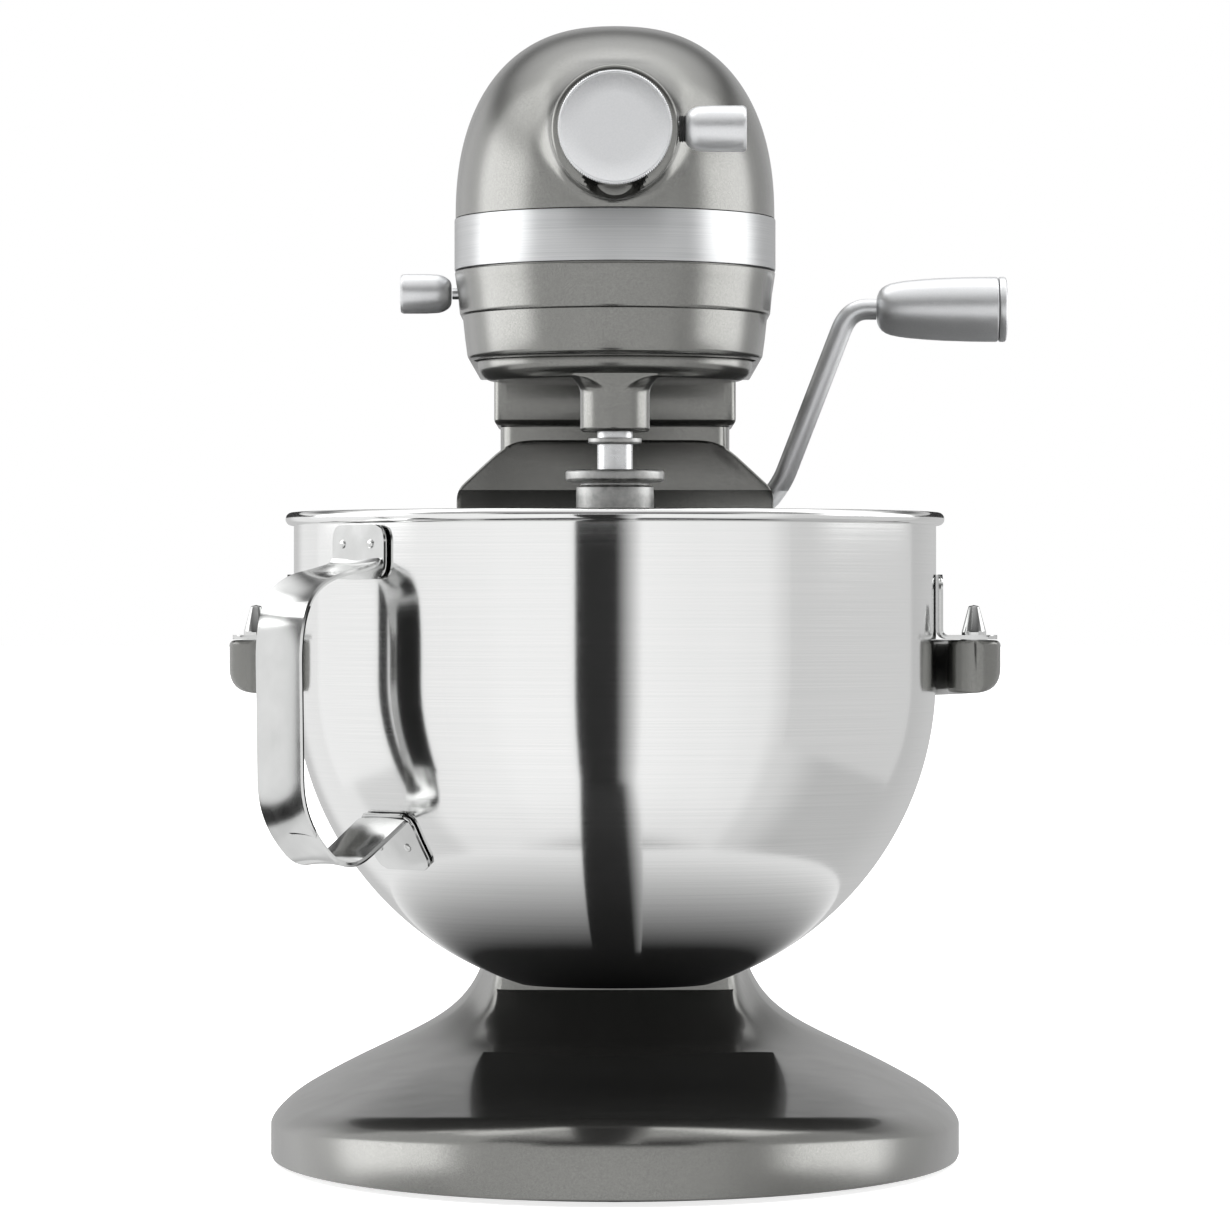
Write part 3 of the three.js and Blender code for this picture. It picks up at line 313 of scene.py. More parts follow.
def brushed_steel(name, dark, light, roughness):
    """Stainless steel brushed level, round the upright axis."""
    material, tree, shader = new_material(name)
    grain = noise(tree, 40, (0.25, 0.25, 75), 4)
    tree.links.new(tinted(tree, grain, dark, light), shader.inputs["Base Color"])
    tree.links.new(spread(tree, grain, roughness * 0.85, roughness * 1.15), shader.inputs["Roughness"])
    shader.inputs["Metallic"].default_value = 1
    shader.inputs["Anisotropic"].default_value = 0.7
    shader.inputs["Anisotropic Rotation"].default_value = 0.25
    tangent = tree.nodes.new("ShaderNodeTangent")
    tangent.direction_type = "RADIAL"
    tangent.axis = "Z"
    tree.links.new(tangent.outputs["Tangent"], shader.inputs["Tangent"])
    bumped(tree, shader, grain, 0.03, 0.0002)
    return material


def metal(name, dark, light, roughness, scale, stretch=(1, 1, 1), bump=0.05, metallic=1.0):
    """A bare metal whose tone and gloss follow one grain."""
    material, tree, shader = new_material(name)
    grain = noise(tree, scale, stretch, 5)
    tree.links.new(tinted(tree, grain, dark, light), shader.inputs["Base Color"])
    tree.links.new(spread(tree, grain, roughness * 0.8, roughness * 1.2), shader.inputs["Roughness"])
    shader.inputs["Metallic"].default_value = metallic
    bumped(tree, shader, grain, bump, 0.0003)
    return material


def moulded(name, dark, light, roughness, scale, bump):
    """Rubber or plastic with a fine moulded texture."""
    material, tree, shader = new_material(name)
    grain = noise(tree, scale)
    tree.links.new(tinted(tree, grain, dark, light), shader.inputs["Base Color"])
    tree.links.new(spread(tree, grain, roughness * 0.9, roughness * 1.1), shader.inputs["Roughness"])
    bumped(tree, shader, grain, bump, 0.0003)
    return material


FINISHES = {
    "body_paint": metallic_paint(),
    "brushed_steel": brushed_steel("brushed_steel", (0.81, 0.815, 0.81), (0.87, 0.87, 0.865), 0.13),
    "polished_steel": metal("polished_steel", (0.66, 0.665, 0.66), (0.74, 0.745, 0.74), 0.13, 90, bump=0.01),
    "satin_aluminium": metal(
        "satin_aluminium", (0.68, 0.69, 0.70), (0.735, 0.74, 0.75), 0.38, 1600, bump=0.004,
                             metallic=0.85),
    "cast_metal": metal("cast_metal", (0.36, 0.365, 0.36), (0.56, 0.56, 0.55), 0.42, 420, bump=0.25),
    "machined_steel": metal(
        "machined_steel", (0.60, 0.61, 0.62), (0.70, 0.705, 0.71), 0.3, 350, (1, 1, 2), 0.02,
    ),
    "gear_brass": metal("gear_brass", (0.55, 0.40, 0.16), (0.68, 0.52, 0.24), 0.32, 300),
    "copper_winding": metal(
        "copper_winding", (0.48, 0.20, 0.10), (0.66, 0.30, 0.16), 0.38, 200, (1, 12, 12), 0.3,
    ),
    "black_rubber": moulded("black_rubber", (0.012, 0.012, 0.012), (0.03, 0.03, 0.03), 0.7, 700, 0.3),
    "dark_plastic": moulded("dark_plastic", (0.02, 0.02, 0.02), (0.045, 0.045, 0.043), 0.45, 500, 0.15),
}
BAND_STEEL = brushed_steel("band_steel", (0.50, 0.51, 0.515), (0.62, 0.625, 0.63), 0.38)

# ---------------------------------------------------------------- head


def fall(share, power):
    return max(1 - share**power, 0) ** (1 / power)


def outline(inset, side_steps=24, nose_steps=160, rear_y=HEAD_REAR_Y):
    """The head's level outline from its rear left, round the nose, to its rear right."""
    half, nose, length = HEAD_HALF_WIDTH - inset, NOSE_Y + inset, NOSE_LENGTH - inset
    side = [rear_y + (nose + length - rear_y) * i / side_steps for i in range(side_steps)]
    turns = [math.pi * (i / nose_steps - 0.5) for i in range(nose_steps + 1)]
    front = [(half * math.sin(t), nose + length * (1 - math.cos(t))) for t in turns]
    return [(-half, y) for y in side] + front + [(half, y) for y in reversed(side)]


def outline_loft(section):
    """A closed section of (inset, z) points swept along the head's outline."""
    rings = [[(x, y, z) for x, y in outline(inset)] for inset, z in section]
    return loft([[ring[i] for ring in rings] for i in range(len(rings[0]))])


def head_skin(z):
    """Half width, nose Y and nose length of the upper housing at a height."""
    share = min((z - BAND_TOP) / (HEAD_TOP - BAND_TOP), 1)
    half = HEAD_HALF_WIDTH * fall(share, FLANK_POWER)
    return half, CREST_Y - (CREST_Y - NOSE_Y) * fall(share, BROW_POWER), NOSE_LENGTH * half / HEAD_HALF_WIDTH


def face_y(x, z):
    """Y of the upper housing's front at a point seen from the front."""
    half, nose, length = head_skin(z)
    return nose + length * (1 - math.sqrt(max(1 - (x / half) ** 2, 0)))


ROW_STEP = (HUB_Z - BAND_TOP) / 24
BLOCK = (27, 23)  # grid steps, across and up, over which the skin bends round the hub
HOLE = (12, 10)


def collar_radius(turn):
    return HUB_RADIUS + 1.5 * max(-math.sin(turn), 0) ** 2


def scooped(point):
    """Finger scoop under the hub's cover."""
    x, y, z = point
    inside = 1 - (x / 10.2) ** 2 - ((z - HUB_Z + 16.6) / 8.8) ** 2
    if inside <= 0 or z > HUB_Z:
        return Vector(point)
    return Vector((x, max(y, -94 + 17 * inside), z))


def hub_point(across, up):
    """Skin point near the hub, for grid steps from its axis, and the turn that it lies at."""
    level = max((abs(across) - HOLE[0]) / (BLOCK[0] - HOLE[0]), (abs(up) - HOLE[1]) / (BLOCK[1] - HOLE[1]), 0)
    a = across / (HOLE[0] + level * (BLOCK[0] - HOLE[0]))
    b = up / (HOLE[1] + level * (BLOCK[1] - HOLE[1]))
    if abs(a) >= abs(b):
        turn = math.pi / 4 * b / a + (0 if a > 0 else math.pi)
    else:
        turn = math.pi / 2 - math.pi / 4 * a / b + (0 if b > 0 else math.pi)
    radius = collar_radius(turn) + 4.6 * level**1.5
    own_z = HUB_Z + up * ROW_STEP
    own_x = head_skin(own_z)[0] * math.sin(math.pi * across / 160)
    weight = level**3
    x = radius * math.cos(turn) * (1 - weight) + own_x * weight
    z = HUB_Z + (radius * math.sin(turn)) * (1 - weight) + (own_z - HUB_Z) * weight
    reach = 6 + 3 * math.sin(turn)
    short = max(reach - max(math.hypot(x, z - HUB_Z) - collar_radius(turn), 0), 0)
    y = face_y(x, z) - (reach - math.sqrt(max(reach**2 - short**2, 0)))
    return scooped((x, y, z)), turn


def upper_housing():
    """The housing's skin, bent out round the hub, with the hub's collar and bore."""
    heights = [BAND_TOP + ROW_STEP * i for i in range(49)]
    start = math.asin((heights[-1] - BAND_TOP) / (HEAD_TOP - BAND_TOP))
    turns = [start + (math.pi / 2 - start) * i / 24 for i in range(1, 25)]
    heights += [BAND_TOP + (HEAD_TOP - BAND_TOP) * math.sin(t) for t in turns]
    side_steps, nose_steps = 24, 160
    points, index = [], {}
    for row, z in enumerate(heights):
        half, nose, length = head_skin(z)
        side = [HEAD_REAR_Y + (nose + length - HEAD_REAR_Y) * i / side_steps for i in range(side_steps)]
        ring = [(-half, y, z) for y in side]
        for i in range(nose_steps + 1):
            across, up = i - nose_steps // 2, row - 24
            if abs(across) <= BLOCK[0] and abs(up) <= BLOCK[1]:
                inside = abs(across) < HOLE[0] and abs(up) < HOLE[1]
                ring.append(None if inside else hub_point(across, up)[0])
            else:
                turn = math.pi * across / nose_steps
                ring.append((half * math.sin(turn), nose + length * (1 - math.cos(turn)), z))
        ring += [(half, y, z) for y in reversed(side)]
        for column, point in enumerate(ring):
            if point is not None:
                index[row, column] = len(points)
                points.append(Vector(point))
    columns = 2 * side_steps + nose_steps + 1
    faces = []
    for row in range(len(heights) - 1):
        for column in range(columns - 1):
            corners = [(row, column), (row, column + 1), (row + 1, column + 1), (row + 1, column)]
            steps = [(c - side_steps - nose_steps // 2, r - 24) for r, c in corners]
            if all(abs(a) <= HOLE[0] and abs(b) <= HOLE[1] for a, b in steps):
                continue
            faces.append(tuple(index[corner] for corner in corners))
    wide, high = HOLE
    loop = [(a, -high) for a in range(-wide, wide)] + [(wide, b) for b in range(-high, high)]
    loop += [(a, high) for a in range(wide, -wide, -1)] + [(-wide, b) for b in range(high, -high, -1)]
    around = [hub_point(a, b) for a, b in loop]
    rings = [[p for p, _ in around]]
    for share in (0.25, 0.5, 0.75, 1):
        rings.append([scooped((p.x, p.y + (HUB_FACE_Y + 1.6 - p.y) * share, p.z)) for p, _ in around])
    for inset, y in ((0.25, 0.8), (0.7, 0.25), (1.4, 0), (2.4, 0), (3.6, 0)):
        edge = [(collar_radius(t) - inset, t) for _, t in around]
        rings.append([scooped((r * math.cos(t), HUB_FACE_Y + y, HUB_Z + r * math.sin(t))) for r, t in edge])
    for y in (0.5, 12, 30):
        bore = [(HUB_BORE * math.cos(t), HUB_BORE * math.sin(t)) for _, t in around]
        rings.append([(x, HUB_FACE_Y + y, HUB_Z + up) for x, up in bore])
    skin = points, faces
    lips = loft([
        [(x, y, z) for x, y in outline(inset)]
        for inset, z in ((0, BAND_TOP), (3, BAND_TOP), (3, BAND_TOP + 12))
    ], closed=False, caps=(False, False))
    return joined(skin, loft(rings, caps=(False, True)), lips)


GEARCASE_SKIN = [
    (5.2, 294.5), (4.75, 294.7), (4.4, 295.2), (4.2, 296), (3.4, 302), (2.75, 308.2), (2.65, 309.2),
    (2.6, 309.9), (1.9, 310.2), (1.55, 310.7), (1.45, 311.6), (0.9, 317.5), (0.2, 322), (-0.25, 325),
    (-0.2, 325.5), (0, 325.7),
    (2.6, 325.7), (2.6, 344.7),
]


def gearcase():
    skin = loft([[(x, y, z) for x, y in outline(inset)] for inset, z in GEARCASE_SKIN], caps=(False, False))
    rim = outline(GEARCASE_SKIN[0][0])
    bore = []
    for x, y in rim:
        turn = math.atan2(y, x)
        bore.append((51.1 * math.cos(turn), 51.1 * math.sin(turn)))
    low = HEAD_BOTTOM
    levels = ((rim, low), (bore, low), (bore, low + 11))
    under = loft([[(x, y, z) for x, y in ring] for ring, z in levels],
                 caps=(False, True))
    corners = [(0, 118), (46, 118), (46, 196), (-46, 196), (-46, 118), (0, 118)]
    neck_outline = [(p.x, p.y) for p in fillet([(x, y, 0) for x, y in corners], 5, 6)][1:]
    neck = slab(neck_outline[:-1], 274.6, 296, bevel=2.2, segments=4)
    return joined(skin, under, neck)


def trim_band():
    low, high = BAND_BOTTOM + 0.3, BAND_TOP - 0.3
    return outline_loft([(0.1, low), (-0.3, low + 0.12), (-0.4, low + 0.5), (-0.4, high - 0.5),
                         (-0.3, high - 0.12), (0.1, high), (2.3, high), (2.3, low)])


def end_cover_section(inset, scale, y, steps=64):
    centre_z = 352
    line = []
    for i in range(steps + 1):
        turn = math.pi * i / steps
        side = math.copysign(abs(math.cos(turn)) ** (2 / FLANK_POWER), math.cos(turn))
        rise = max(math.sin(turn), 0) ** (2 / FLANK_POWER)
        line.append(((HEAD_HALF_WIDTH - inset) * side, BAND_TOP + (HEAD_TOP - BAND_TOP - inset) * rise))
    low = [(-57, 328), (-56.2, 316), (-54.8, 306), (-53.8, 299), (-52.4, 296), (-50, 294.6), (-40, 294.5)]
    low += [(-x, z) for x, z in reversed(low)]
    line += [(x - math.copysign(inset, x), z + (inset if z < 300 else 0)) for x, z in low]
    return [(x * scale, y, centre_z + (z - centre_z) * scale) for x, z in line]


def end_cover():
    start = HEAD_REAR_Y + 0.3

    def skin(inset, depth):
        turns = [math.pi / 2 * i / 20 for i in range(21)]
        return [end_cover_section(inset, 0.6 + 0.4 * math.cos(t), start + depth * math.sin(t)) for t in turns]

    outer, inner = skin(0, COVER_BACK_Y - start), skin(COVER_WALL, COVER_BACK_Y - start - COVER_WALL)
    return loft(outer[::-1] + inner)


def vent_slots():
    slots = []
    for row in range(6):
        z = 337.7 + 8 * row
        ends = []
        for side in (1, -1):
            for k in range(9):
                turn = math.pi * (k / 8 - 0.5)
                ends.append((side * (22.3 + 1.7 * math.cos(turn)), z + side * 1.7 * math.sin(turn)))
        slots.append(slab(ends, 220, 236, "xz"))
    return slots


add("upper_housing_skin", upper_housing(), "body_paint", "stand", ["upper_housing", "hub_collar"], 40)
add("gearcase_skin", gearcase(), "body_paint", "stand", ["gearcase"])
band = add("trim_band_skin", trim_band(), "brushed_steel", "stand", ["trim_band"])
band.material_slots[0].material = BAND_STEEL
add("end_cover_skin", end_cover(), "body_paint", "stand", ["end_cover"], 40, vent_slots())

# ---------------------------------------------------------------- pedestal


def oval(turn, half_width, half_length, power):
    c, s = math.cos(turn), math.sin(turn)
    size = (abs(c) ** power + abs(s) ** power) ** (-1 / power)
    return Vector((half_width * c * size, half_length * s * size))


def foot_rings(inset, bottom, column_top, sides, shares):
    """Rings from the foot's rim up its flare to the column, then up to column_top."""
    column_y = (COLUMN_FRONT_Y + COLUMN_REAR_Y) / 2

    def flare(away):
        return FLARE_HEIGHT + FLARE / (away + FLARE_OFFSET) - inset

    rings = [[] for _ in shares]
    for k in range(sides):
        turn = 2 * math.pi * k / sides
        rear = math.sin(turn) > 0
        length = FOOT_REAR if rear else FOOT_FRONT
        rim = oval(turn, FOOT_HALF_WIDTH - inset, length - inset, 2) + Vector((0, FOOT_CENTRE_Y))
        half_length = column_y - COLUMN_FRONT_Y
        neck = oval(turn, COLUMN_HALF_WIDTH - inset, half_length - inset, 7) + Vector((0, column_y))
        run, side = (rim - neck).length, math.cos(turn) ** 2
        ease = 0.5 + 0.5 * math.tanh(math.sin(turn) * 6)
        rim_z = 20 - 2 * ease - (6 - 2 * ease) * side - inset
        reach = min(12 + 4 * side, run)

        def height(share):
            sag = 4.8 - ((64 - 84 * share) / 14.9) ** 2
            return flare((1 - share) * run) + sag * side

        for ring, share in zip(rings, shares):
            shoulder = 1 - math.sqrt(max(1 - max(1 - share * run / reach, 0) ** 2, 0))
            at = rim.lerp(neck, share)
            ring.append((at.x, at.y, height(share) - (height(0) - rim_z) * shoulder))
    level = [[(x, y, z) for x, y, _ in rings[0]] for z in (bottom,)]
    top = [[(x, y, z) for x, y, _ in rings[-1]] for z in (column_top,)]
    return level + rings + top


def pedestal():
    shares = [0.14 * (i / 16) ** 2 for i in range(17)]
    shares += [0.14 + 0.86 * (1 - (1 - i / 40) ** 1.5) for i in range(1, 41)]
    outer = foot_rings(0, FOOT_BOTTOM + 1.2, COLUMN_TOP, 192, shares)
    centre = Vector((0, FOOT_CENTRE_Y, 0))
    lift = Vector((0, 0, FOOT_BOTTOM))
    edge = [[centre + (Vector((x, y, 0)) - centre) * 0.996 + lift for x, y, _ in outer[0]]]
    inner = foot_rings(FOOT_WALL, FOOT_BOTTOM, 120, 192, shares[::4])
    body = loft(inner[::-1] + edge + outer)
    boss = fillet([(0, 6.3, 0), (9, 6.3, 0), (9, 26, 0), (0, 26, 0)], 0.6, 3)
    bosses = [moved(lathe([(p.x, p.y) for p in boss], segments=32), (x, y, 0)) for x, y in PADS.values()]
    return joined(body, *bosses)


def turned(corners, reach=0.5, axis="z", segments=96, steps=4):
    """A lathe of a profile whose inner corners are rounded."""
    line = fillet([(r, h, 0) for r, h in corners], reach, steps)
    return lathe([(p.x, p.y) for p in line], axis, segments)


add("pedestal_casting", pedestal(), "body_paint", "stand", ["pedestal", "column"], 40)
pad = turned([(0, 0), (9.2, 0), (10, 1.4), (9.4, 6), (2.3, 6), (2.3, 12), (0, 12)], 0.8, segments=48)
for name, (x, y) in PADS.items():
    add(f"foot_{name}_pad", moved(pad, (x, y, 0)), "black_rubber", "stand", [f"foot_{name}"])
gland = turned([(0, 284), (4.6, 284), (5.6, 288), (5.4, 288.6), (6.2, 291.6), (8.8, 292), (8.8, 293.9),
                (6.4, 293.9),
                (6.4, 302), (0, 302)], 0.4, segments=48)
add("cord_gland_boot", moved(gland, (22, 212, 0)), "black_rubber", "stand", ["cord_gland"])

# ---------------------------------------------------------------- hub, speed control and lever


def hub_cover():
    back, front = HUB_FACE_Y - 0.3, HUB_FACE_Y - 3.7
    disc = [(0, front), (12, front), (18.3, front), (18.8, front + 0.15), (18.9, front + 0.45),
            (19.1, front + 0.5), (19.6, front + 0.6), (20, front + 1), (20, back - 0.3),
            (19.7, back), (0, back)]

    def knurled(radius, height, step):
        on_edge = radius > 19.05 and front + 0.4 < height < back - 0.1
        return radius - 0.42 if on_edge and step % 2 else radius

    face = lathe(disc, "y", 300, knurled)
    knuckle = turned([(0, -5.8), (2.3, -5.8), (2.3, 5.8), (0, 5.8)], 0.4, "x", 32)
    arm = slab([(-5.8, 388.9), (5.8, 388.9), (5.8, 391.1), (-5.8, 391.1)], HUB_FACE_Y - 1.3, -96.5, "xz", 0.3)
    return joined(moved(face, (0, 0, HUB_Z)), moved(knuckle, (0, -96.5, 390.5)), arm)


def bullet(radius, start, end):
    """A grip along +X: a blunt nose at its inner end, full radius, and a crisp outer rim."""
    line = [(0, start), (radius * 0.42, start)]
    for k in range(1, 13):
        turn = math.pi / 2 * k / 12
        line.append((radius * (0.42 + 0.56 * math.sin(turn)), start + 6.2 * (1 - math.cos(turn))))
    line += [(radius, start + 9), (radius, end - 1.3), (radius - 0.15, end - 0.8), (radius - 0.55, end - 0.2),
             (radius - 1.1, end), (radius - 2.4, end - 0.25), (0, end - 0.3)]
    return lathe(line, "x", 72)


add("hub_cover_disc", hub_cover(), "satin_aluminium", "cover", ["hub_cover"], 28)
knob_grip = moved(bullet(8.1, 24.3, 45.8), (0, -93, HUB_Z))
add("attachment_knob_grip", knob_grip, "satin_aluminium", "knob", ["attachment_knob"])
ridges = [(4.3 + (0.5 if k % 2 else 0), 22.3 + 0.42 * k) for k in range(6)]
neck_line = [(0, 22.3)] + ridges + [(3, 24.4), (0, 24.4)]
add("attachment_knob_neck", moved(lathe(neck_line, "x", 40), (0, -93, HUB_Z)), "black_rubber", "knob")
speed = moved(bullet(7.15, 59.2, 77.7), turn=math.pi, by=(0, 0, SPEED_Z))
add("speed_knob_grip", speed, "satin_aluminium", "speed_control", ["speed_knob"])

rod_path = fillet([(3.2, LIFT_Y, LIFT_Z), (58, LIFT_Y, LIFT_Z), (64.5, LIFT_Y, 254), (88.5, LIFT_Y, 316),
                   (93.5, LIFT_Y, GRIP_Z), (100.3, LIFT_Y, GRIP_Z)], 4.5, 8)
add("lift_lever_bar", tube(rod_path, 4.0, 32), "satin_aluminium", "lift_lever", ["lift_lever_rod"], 45)
grip = [(0, 0), (4.6, 0), (5.5, 0.25), (7, 0.9), (8.2, 1.9), (9.2, 3.4), (9.9, 5.2), (10.5, 8), (11, 11.4),
        (11.6, 18), (12.1, 26), (12.4, 36), (12.5, 45.6), (12.35, 46.15), (12.1, 46.4), (0, 46.4)]
handle = moved(lathe([(r, 100.6 + h) for r, h in grip], "x"), (0, LIFT_Y, GRIP_Z))
add("lift_lever_handle", handle, "satin_aluminium",
    "lift_lever", ["lift_lever_grip"], 40)
cap = [(0, 147.3), (11.7, 147.3), (12.3, 147.45), (12.5, 147.8), (12.5, 149.2), (12.3, 149.8), (11.8, 150.2),
       (11.2, 150.3), (0, 150.3)]
lever_end = moved(lathe(cap, "x"), (0, LIFT_Y, GRIP_Z))
add("lift_lever_end", lever_end, "satin_aluminium", "lift_lever", ["lift_lever_cap"])

# ---------------------------------------------------------------- yoke


def arm_section(inner, outer, low):
    """A (radius, z) section with a broad round under its outer side."""
    corners = [(inner, low, 2), (inner, ARM_TOP, 1.6), (outer, ARM_TOP, 2.4), (outer, low, 9.5)]
    ring = []
    for i, (r, z, reach) in enumerate(corners):
        corner = Vector((r, z))
        before, after = (Vector(corners[i - 1][:2]), Vector(corners[(i + 1) % 4][:2]))
        reach = min(reach, (outer - inner) * 0.48)
        enter = corner + (before - corner).normalized() * reach
        leave = corner + (after - corner).normalized() * reach
        for k in range(9):
            t = k / 8
            ring.append(enter.lerp(corner, t).lerp(corner.lerp(leave, t), t))
    return ring


def yoke_arm(side):
    rings = []
    for k in range(30):
        turn = math.radians(ARM_SWEEP * (1 - k / 29))
        low = ARM_BOTTOM - 4 * (1 - k / 29)
        section = arm_section(ARM_INNER, ARM_OUTER, low)
        rings.append([(side * p.x * math.cos(turn), p.x * math.sin(turn), p.y) for p in section])
    half = (ARM_OUTER - ARM_INNER) / 2
    for k in range(1, 13):
        turn = math.pi / 2 * k / 12.4
        across = half * math.cos(turn)
        section = arm_section(ARM_MIDDLE - across, ARM_MIDDLE + across, ARM_BOTTOM)
        rings.append([(side * p.x, -half * math.sin(turn), p.y) for p in section])
    return loft(rings)


def bowl_yoke():
    corners = [(0, ARM_BOTTOM), (60.3, ARM_BOTTOM), (60.3, 250), (44, 265), (39, 268), (33, 269), (0, 269)]
    right = [(p.x, p.y) for p in fillet([(x, z, 0) for x, z in corners], 4, 5)]
    outline = right[1:] + [(-x, z) for x, z in reversed(right[1:-1])]
    plate = slab(outline, YOKE_FRONT_Y, YOKE_FRONT_Y + YOKE_PLATE, "xz", 1.1, 3)
    return joined(plate, yoke_arm(1), yoke_arm(-1))


add("yoke_casting", bowl_yoke(), "body_paint", "lift_yoke", ["bowl_yoke"], 38)
pin_line = [(0, 192), (4.9, 192), (4.9, 193.9), (4.45, 194.3), (4.45, 196.3), (1.9, 205.6), (0, 206)]
pin = turned(pin_line, 0.35, segments=64)
for side, name in ((-1, "left"), (1, "right")):
    stood = moved(pin, (side * ARM_MIDDLE, 0, 0))
    add(f"pin_{name}", stood, "polished_steel", "lift_yoke", [f"locating_pin_{name}"])

# ---------------------------------------------------------------- bowl


def bowl():
    low = -math.asin((BOWL_BEND_Z - BOWL_FLAT_Z) / BOWL_RADIUS)

    def arc(radius, start, end, steps=40):
        turns = [start + (end - start) * i / steps for i in range(steps + 1)]
        return [(radius * math.cos(t), BOWL_BEND_Z + radius * math.sin(t)) for t in turns]

    bead = []
    for k in range(17):
        turn = -math.pi / 2 + 1.15 * math.pi * k / 16
        bead.append((RIM_RADIUS - 2.3 + 2.3 * math.cos(turn), RIM_TOP - 2.35 + 2.35 * math.sin(turn)))
    inner_low = -math.asin((BOWL_BEND_Z - BOWL_FLAT_Z - BOWL_WALL) / (BOWL_RADIUS - BOWL_WALL))
    outer, inner = arc(BOWL_RADIUS, low, 0), arc(BOWL_RADIUS - BOWL_WALL, 0, inner_low)
    wall = [(BOWL_RADIUS, BOWL_BEND_Z + 54.6 * k / 6) for k in range(1, 7)]
    seat = [(0, BOWL_FLAT_Z + 1.2), (outer[0][0] - 3, BOWL_FLAT_Z + 1.2), (outer[0][0] - 2, BOWL_FLAT_Z)]
    inside = BOWL_RADIUS - BOWL_WALL
    lip = [(BOWL_RADIUS - 0.6, RIM_TOP - 1), (inside, RIM_TOP - 2.2), (inside, 210)]
    return lathe(seat + outer + wall + bead + lip + inner + [(0, BOWL_FLAT_Z + 2.4)], segments=192)


def dome(x, y, z, axis, radius=1.6, height=0.5):
    line = [(radius * math.cos(t), height * math.sin(t)) for t in (math.pi / 2 * k / 6 for k in range(7))]
    return moved(lathe([(0, -0.3), (radius, -0.3)] + line, axis, 20), (x, y, z))


def bowl_handle():
    wall = BOWL_RADIUS + 1.3
    path = fillet([(wall + 0.9, 0, 222), (wall + 2.4, 0, 219.4), (144.5, 0, 214.6), (152.5, 0, 199),
                   (151.5, 0, 132), (132.5, 0, 111), (106.8, 0, 129.8)], 13, 9)
    grip_strap = strap(path, lambda s, full: 13.5 - 0.6 * math.sin(math.pi * min(s / full, 1)), 1.7, 0.9)
    corner = 6

    def plate_half(s, full):
        near = max(corner - min(s, full - s), 0)
        return 15 - (corner - math.sqrt(max(corner**2 - near**2, 0))) * 0.7

    top_path = [(wall + 0.5, 0, 234 - 19 * k / 16) for k in range(17)]
    top = strap(top_path, plate_half, 1.3)
    flank = BOWL_RADIUS + 1.3
    bottom_path = []
    for k in range(13):
        r = 107.4 - 11 * k / 12
        bottom_path.append((r, 0, BOWL_BEND_Z - math.sqrt(flank**2 - r * r)))
    bottom = strap(bottom_path, plate_half, 1.3)

    def wrapped(shape):
        """The plates follow the bowl's round wall."""
        points = []
        for p in shape[0]:
            turn = p.y / max(p.x, 1)
            points.append(Vector((p.x * math.cos(turn), p.x * math.sin(turn), p.z)))
        return points, shape[1]

    welds = [dome(wall + 1.1, y, 227.3, "x") for y in (-7.9, 7.9)]
    lean = math.acos(101.5 / flank)
    for y in (-7.9, 7.9):
        tilted = moved(dome(flank + 0.6, y, 0, "x"), turn=lean, axis="Y")
        welds.append(moved(tilted, (0, 0, BOWL_BEND_Z)))
    return moved(joined(grip_strap, wrapped(top), wrapped(bottom), *welds), turn=HANDLE_TURN)


def side_bracket(side):
    path = fillet([(117.5, 0, 217), (117.5, 0, 194.4), (138, 0, 194.4)], 3.2, 8)
    upright = [path[0].lerp(path[1], k / 10) for k in range(10)]
    shelf = [path[-2].lerp(path[-1], k / 8) for k in range(1, 9)]
    line = upright + path[1:-1] + shelf

    def half(s, full):
        near = max(5 - min(s, full - s), 0)
        return 13 - (5 - math.sqrt(max(25 - near**2, 0)))

    return moved(strap(line, half, 1.5), turn=0 if side > 0 else math.pi)


add("bowl_shell", bowl(), "brushed_steel", "bowl_body", ["bowl"], 50)
add("bowl_handle_strap", bowl_handle(), "polished_steel", "bowl_body", ["bowl_handle"], 45)
for side, name in ((-1, "left"), (1, "right")):
    hole = moved(lathe([(0, 190), (4.8, 190), (4.8, 200), (0, 200)], segments=48), (side * ARM_MIDDLE, 0, 0))
    node = f"bowl_bracket_{name}"
    add(f"bracket_{name}", side_bracket(side), "polished_steel", "bowl_body", [node], 45, [hole])
stud = turned([(0, 117), (3, 117), (3, 121.3), (0, 121.3)], 0.5, "y", 40)
stud_plate = slab([(-9, 213), (9, 213), (9, 229), (-9, 229)], 116.6, 118, "xz", 0.4)
rear_stud = joined(moved(stud, (0, 0, 221)), stud_plate)
add("bowl_stud", rear_stud, "polished_steel", "bowl_body", ["bowl_rear_stud"])

# ---------------------------------------------------------------- planetary and beater


def planetary_dish():
    rim = [(43.7 + 6 * math.sin(t), 293 - 6 * math.cos(t)) for t in (math.pi / 2 * k / 12 for k in range(13))]
    dish = lathe([(0, 287)] + rim + [(49.7, 295.2), (49.4, 295.7), (0, 295.7)], segments=144)
    line = fillet([(7, 267.9, 0), (7.4, 267.7, 0), (12.4, 267.7, 0), (12.4, 275, 0)], 1.6, 6)
    boss_line = [(p.x, p.y) for p in line]
    for k in range(13):
        turn = math.pi / 2 * k / 12
        boss_line.append((12.4 + 6.5 * (1 - math.cos(turn)), 281.2 + 6.5 * math.sin(turn)))
    points, faces = moved(lathe(boss_line + [(18, 289)], segments=96), (0, -ORBIT, 0))
    limit = 47.5
    for p in points:
        away = math.hypot(p.x, p.y)
        if away > limit:
            p.x, p.y = p.x * limit / away, p.y * limit / away
    return joined(dish, (points, faces))


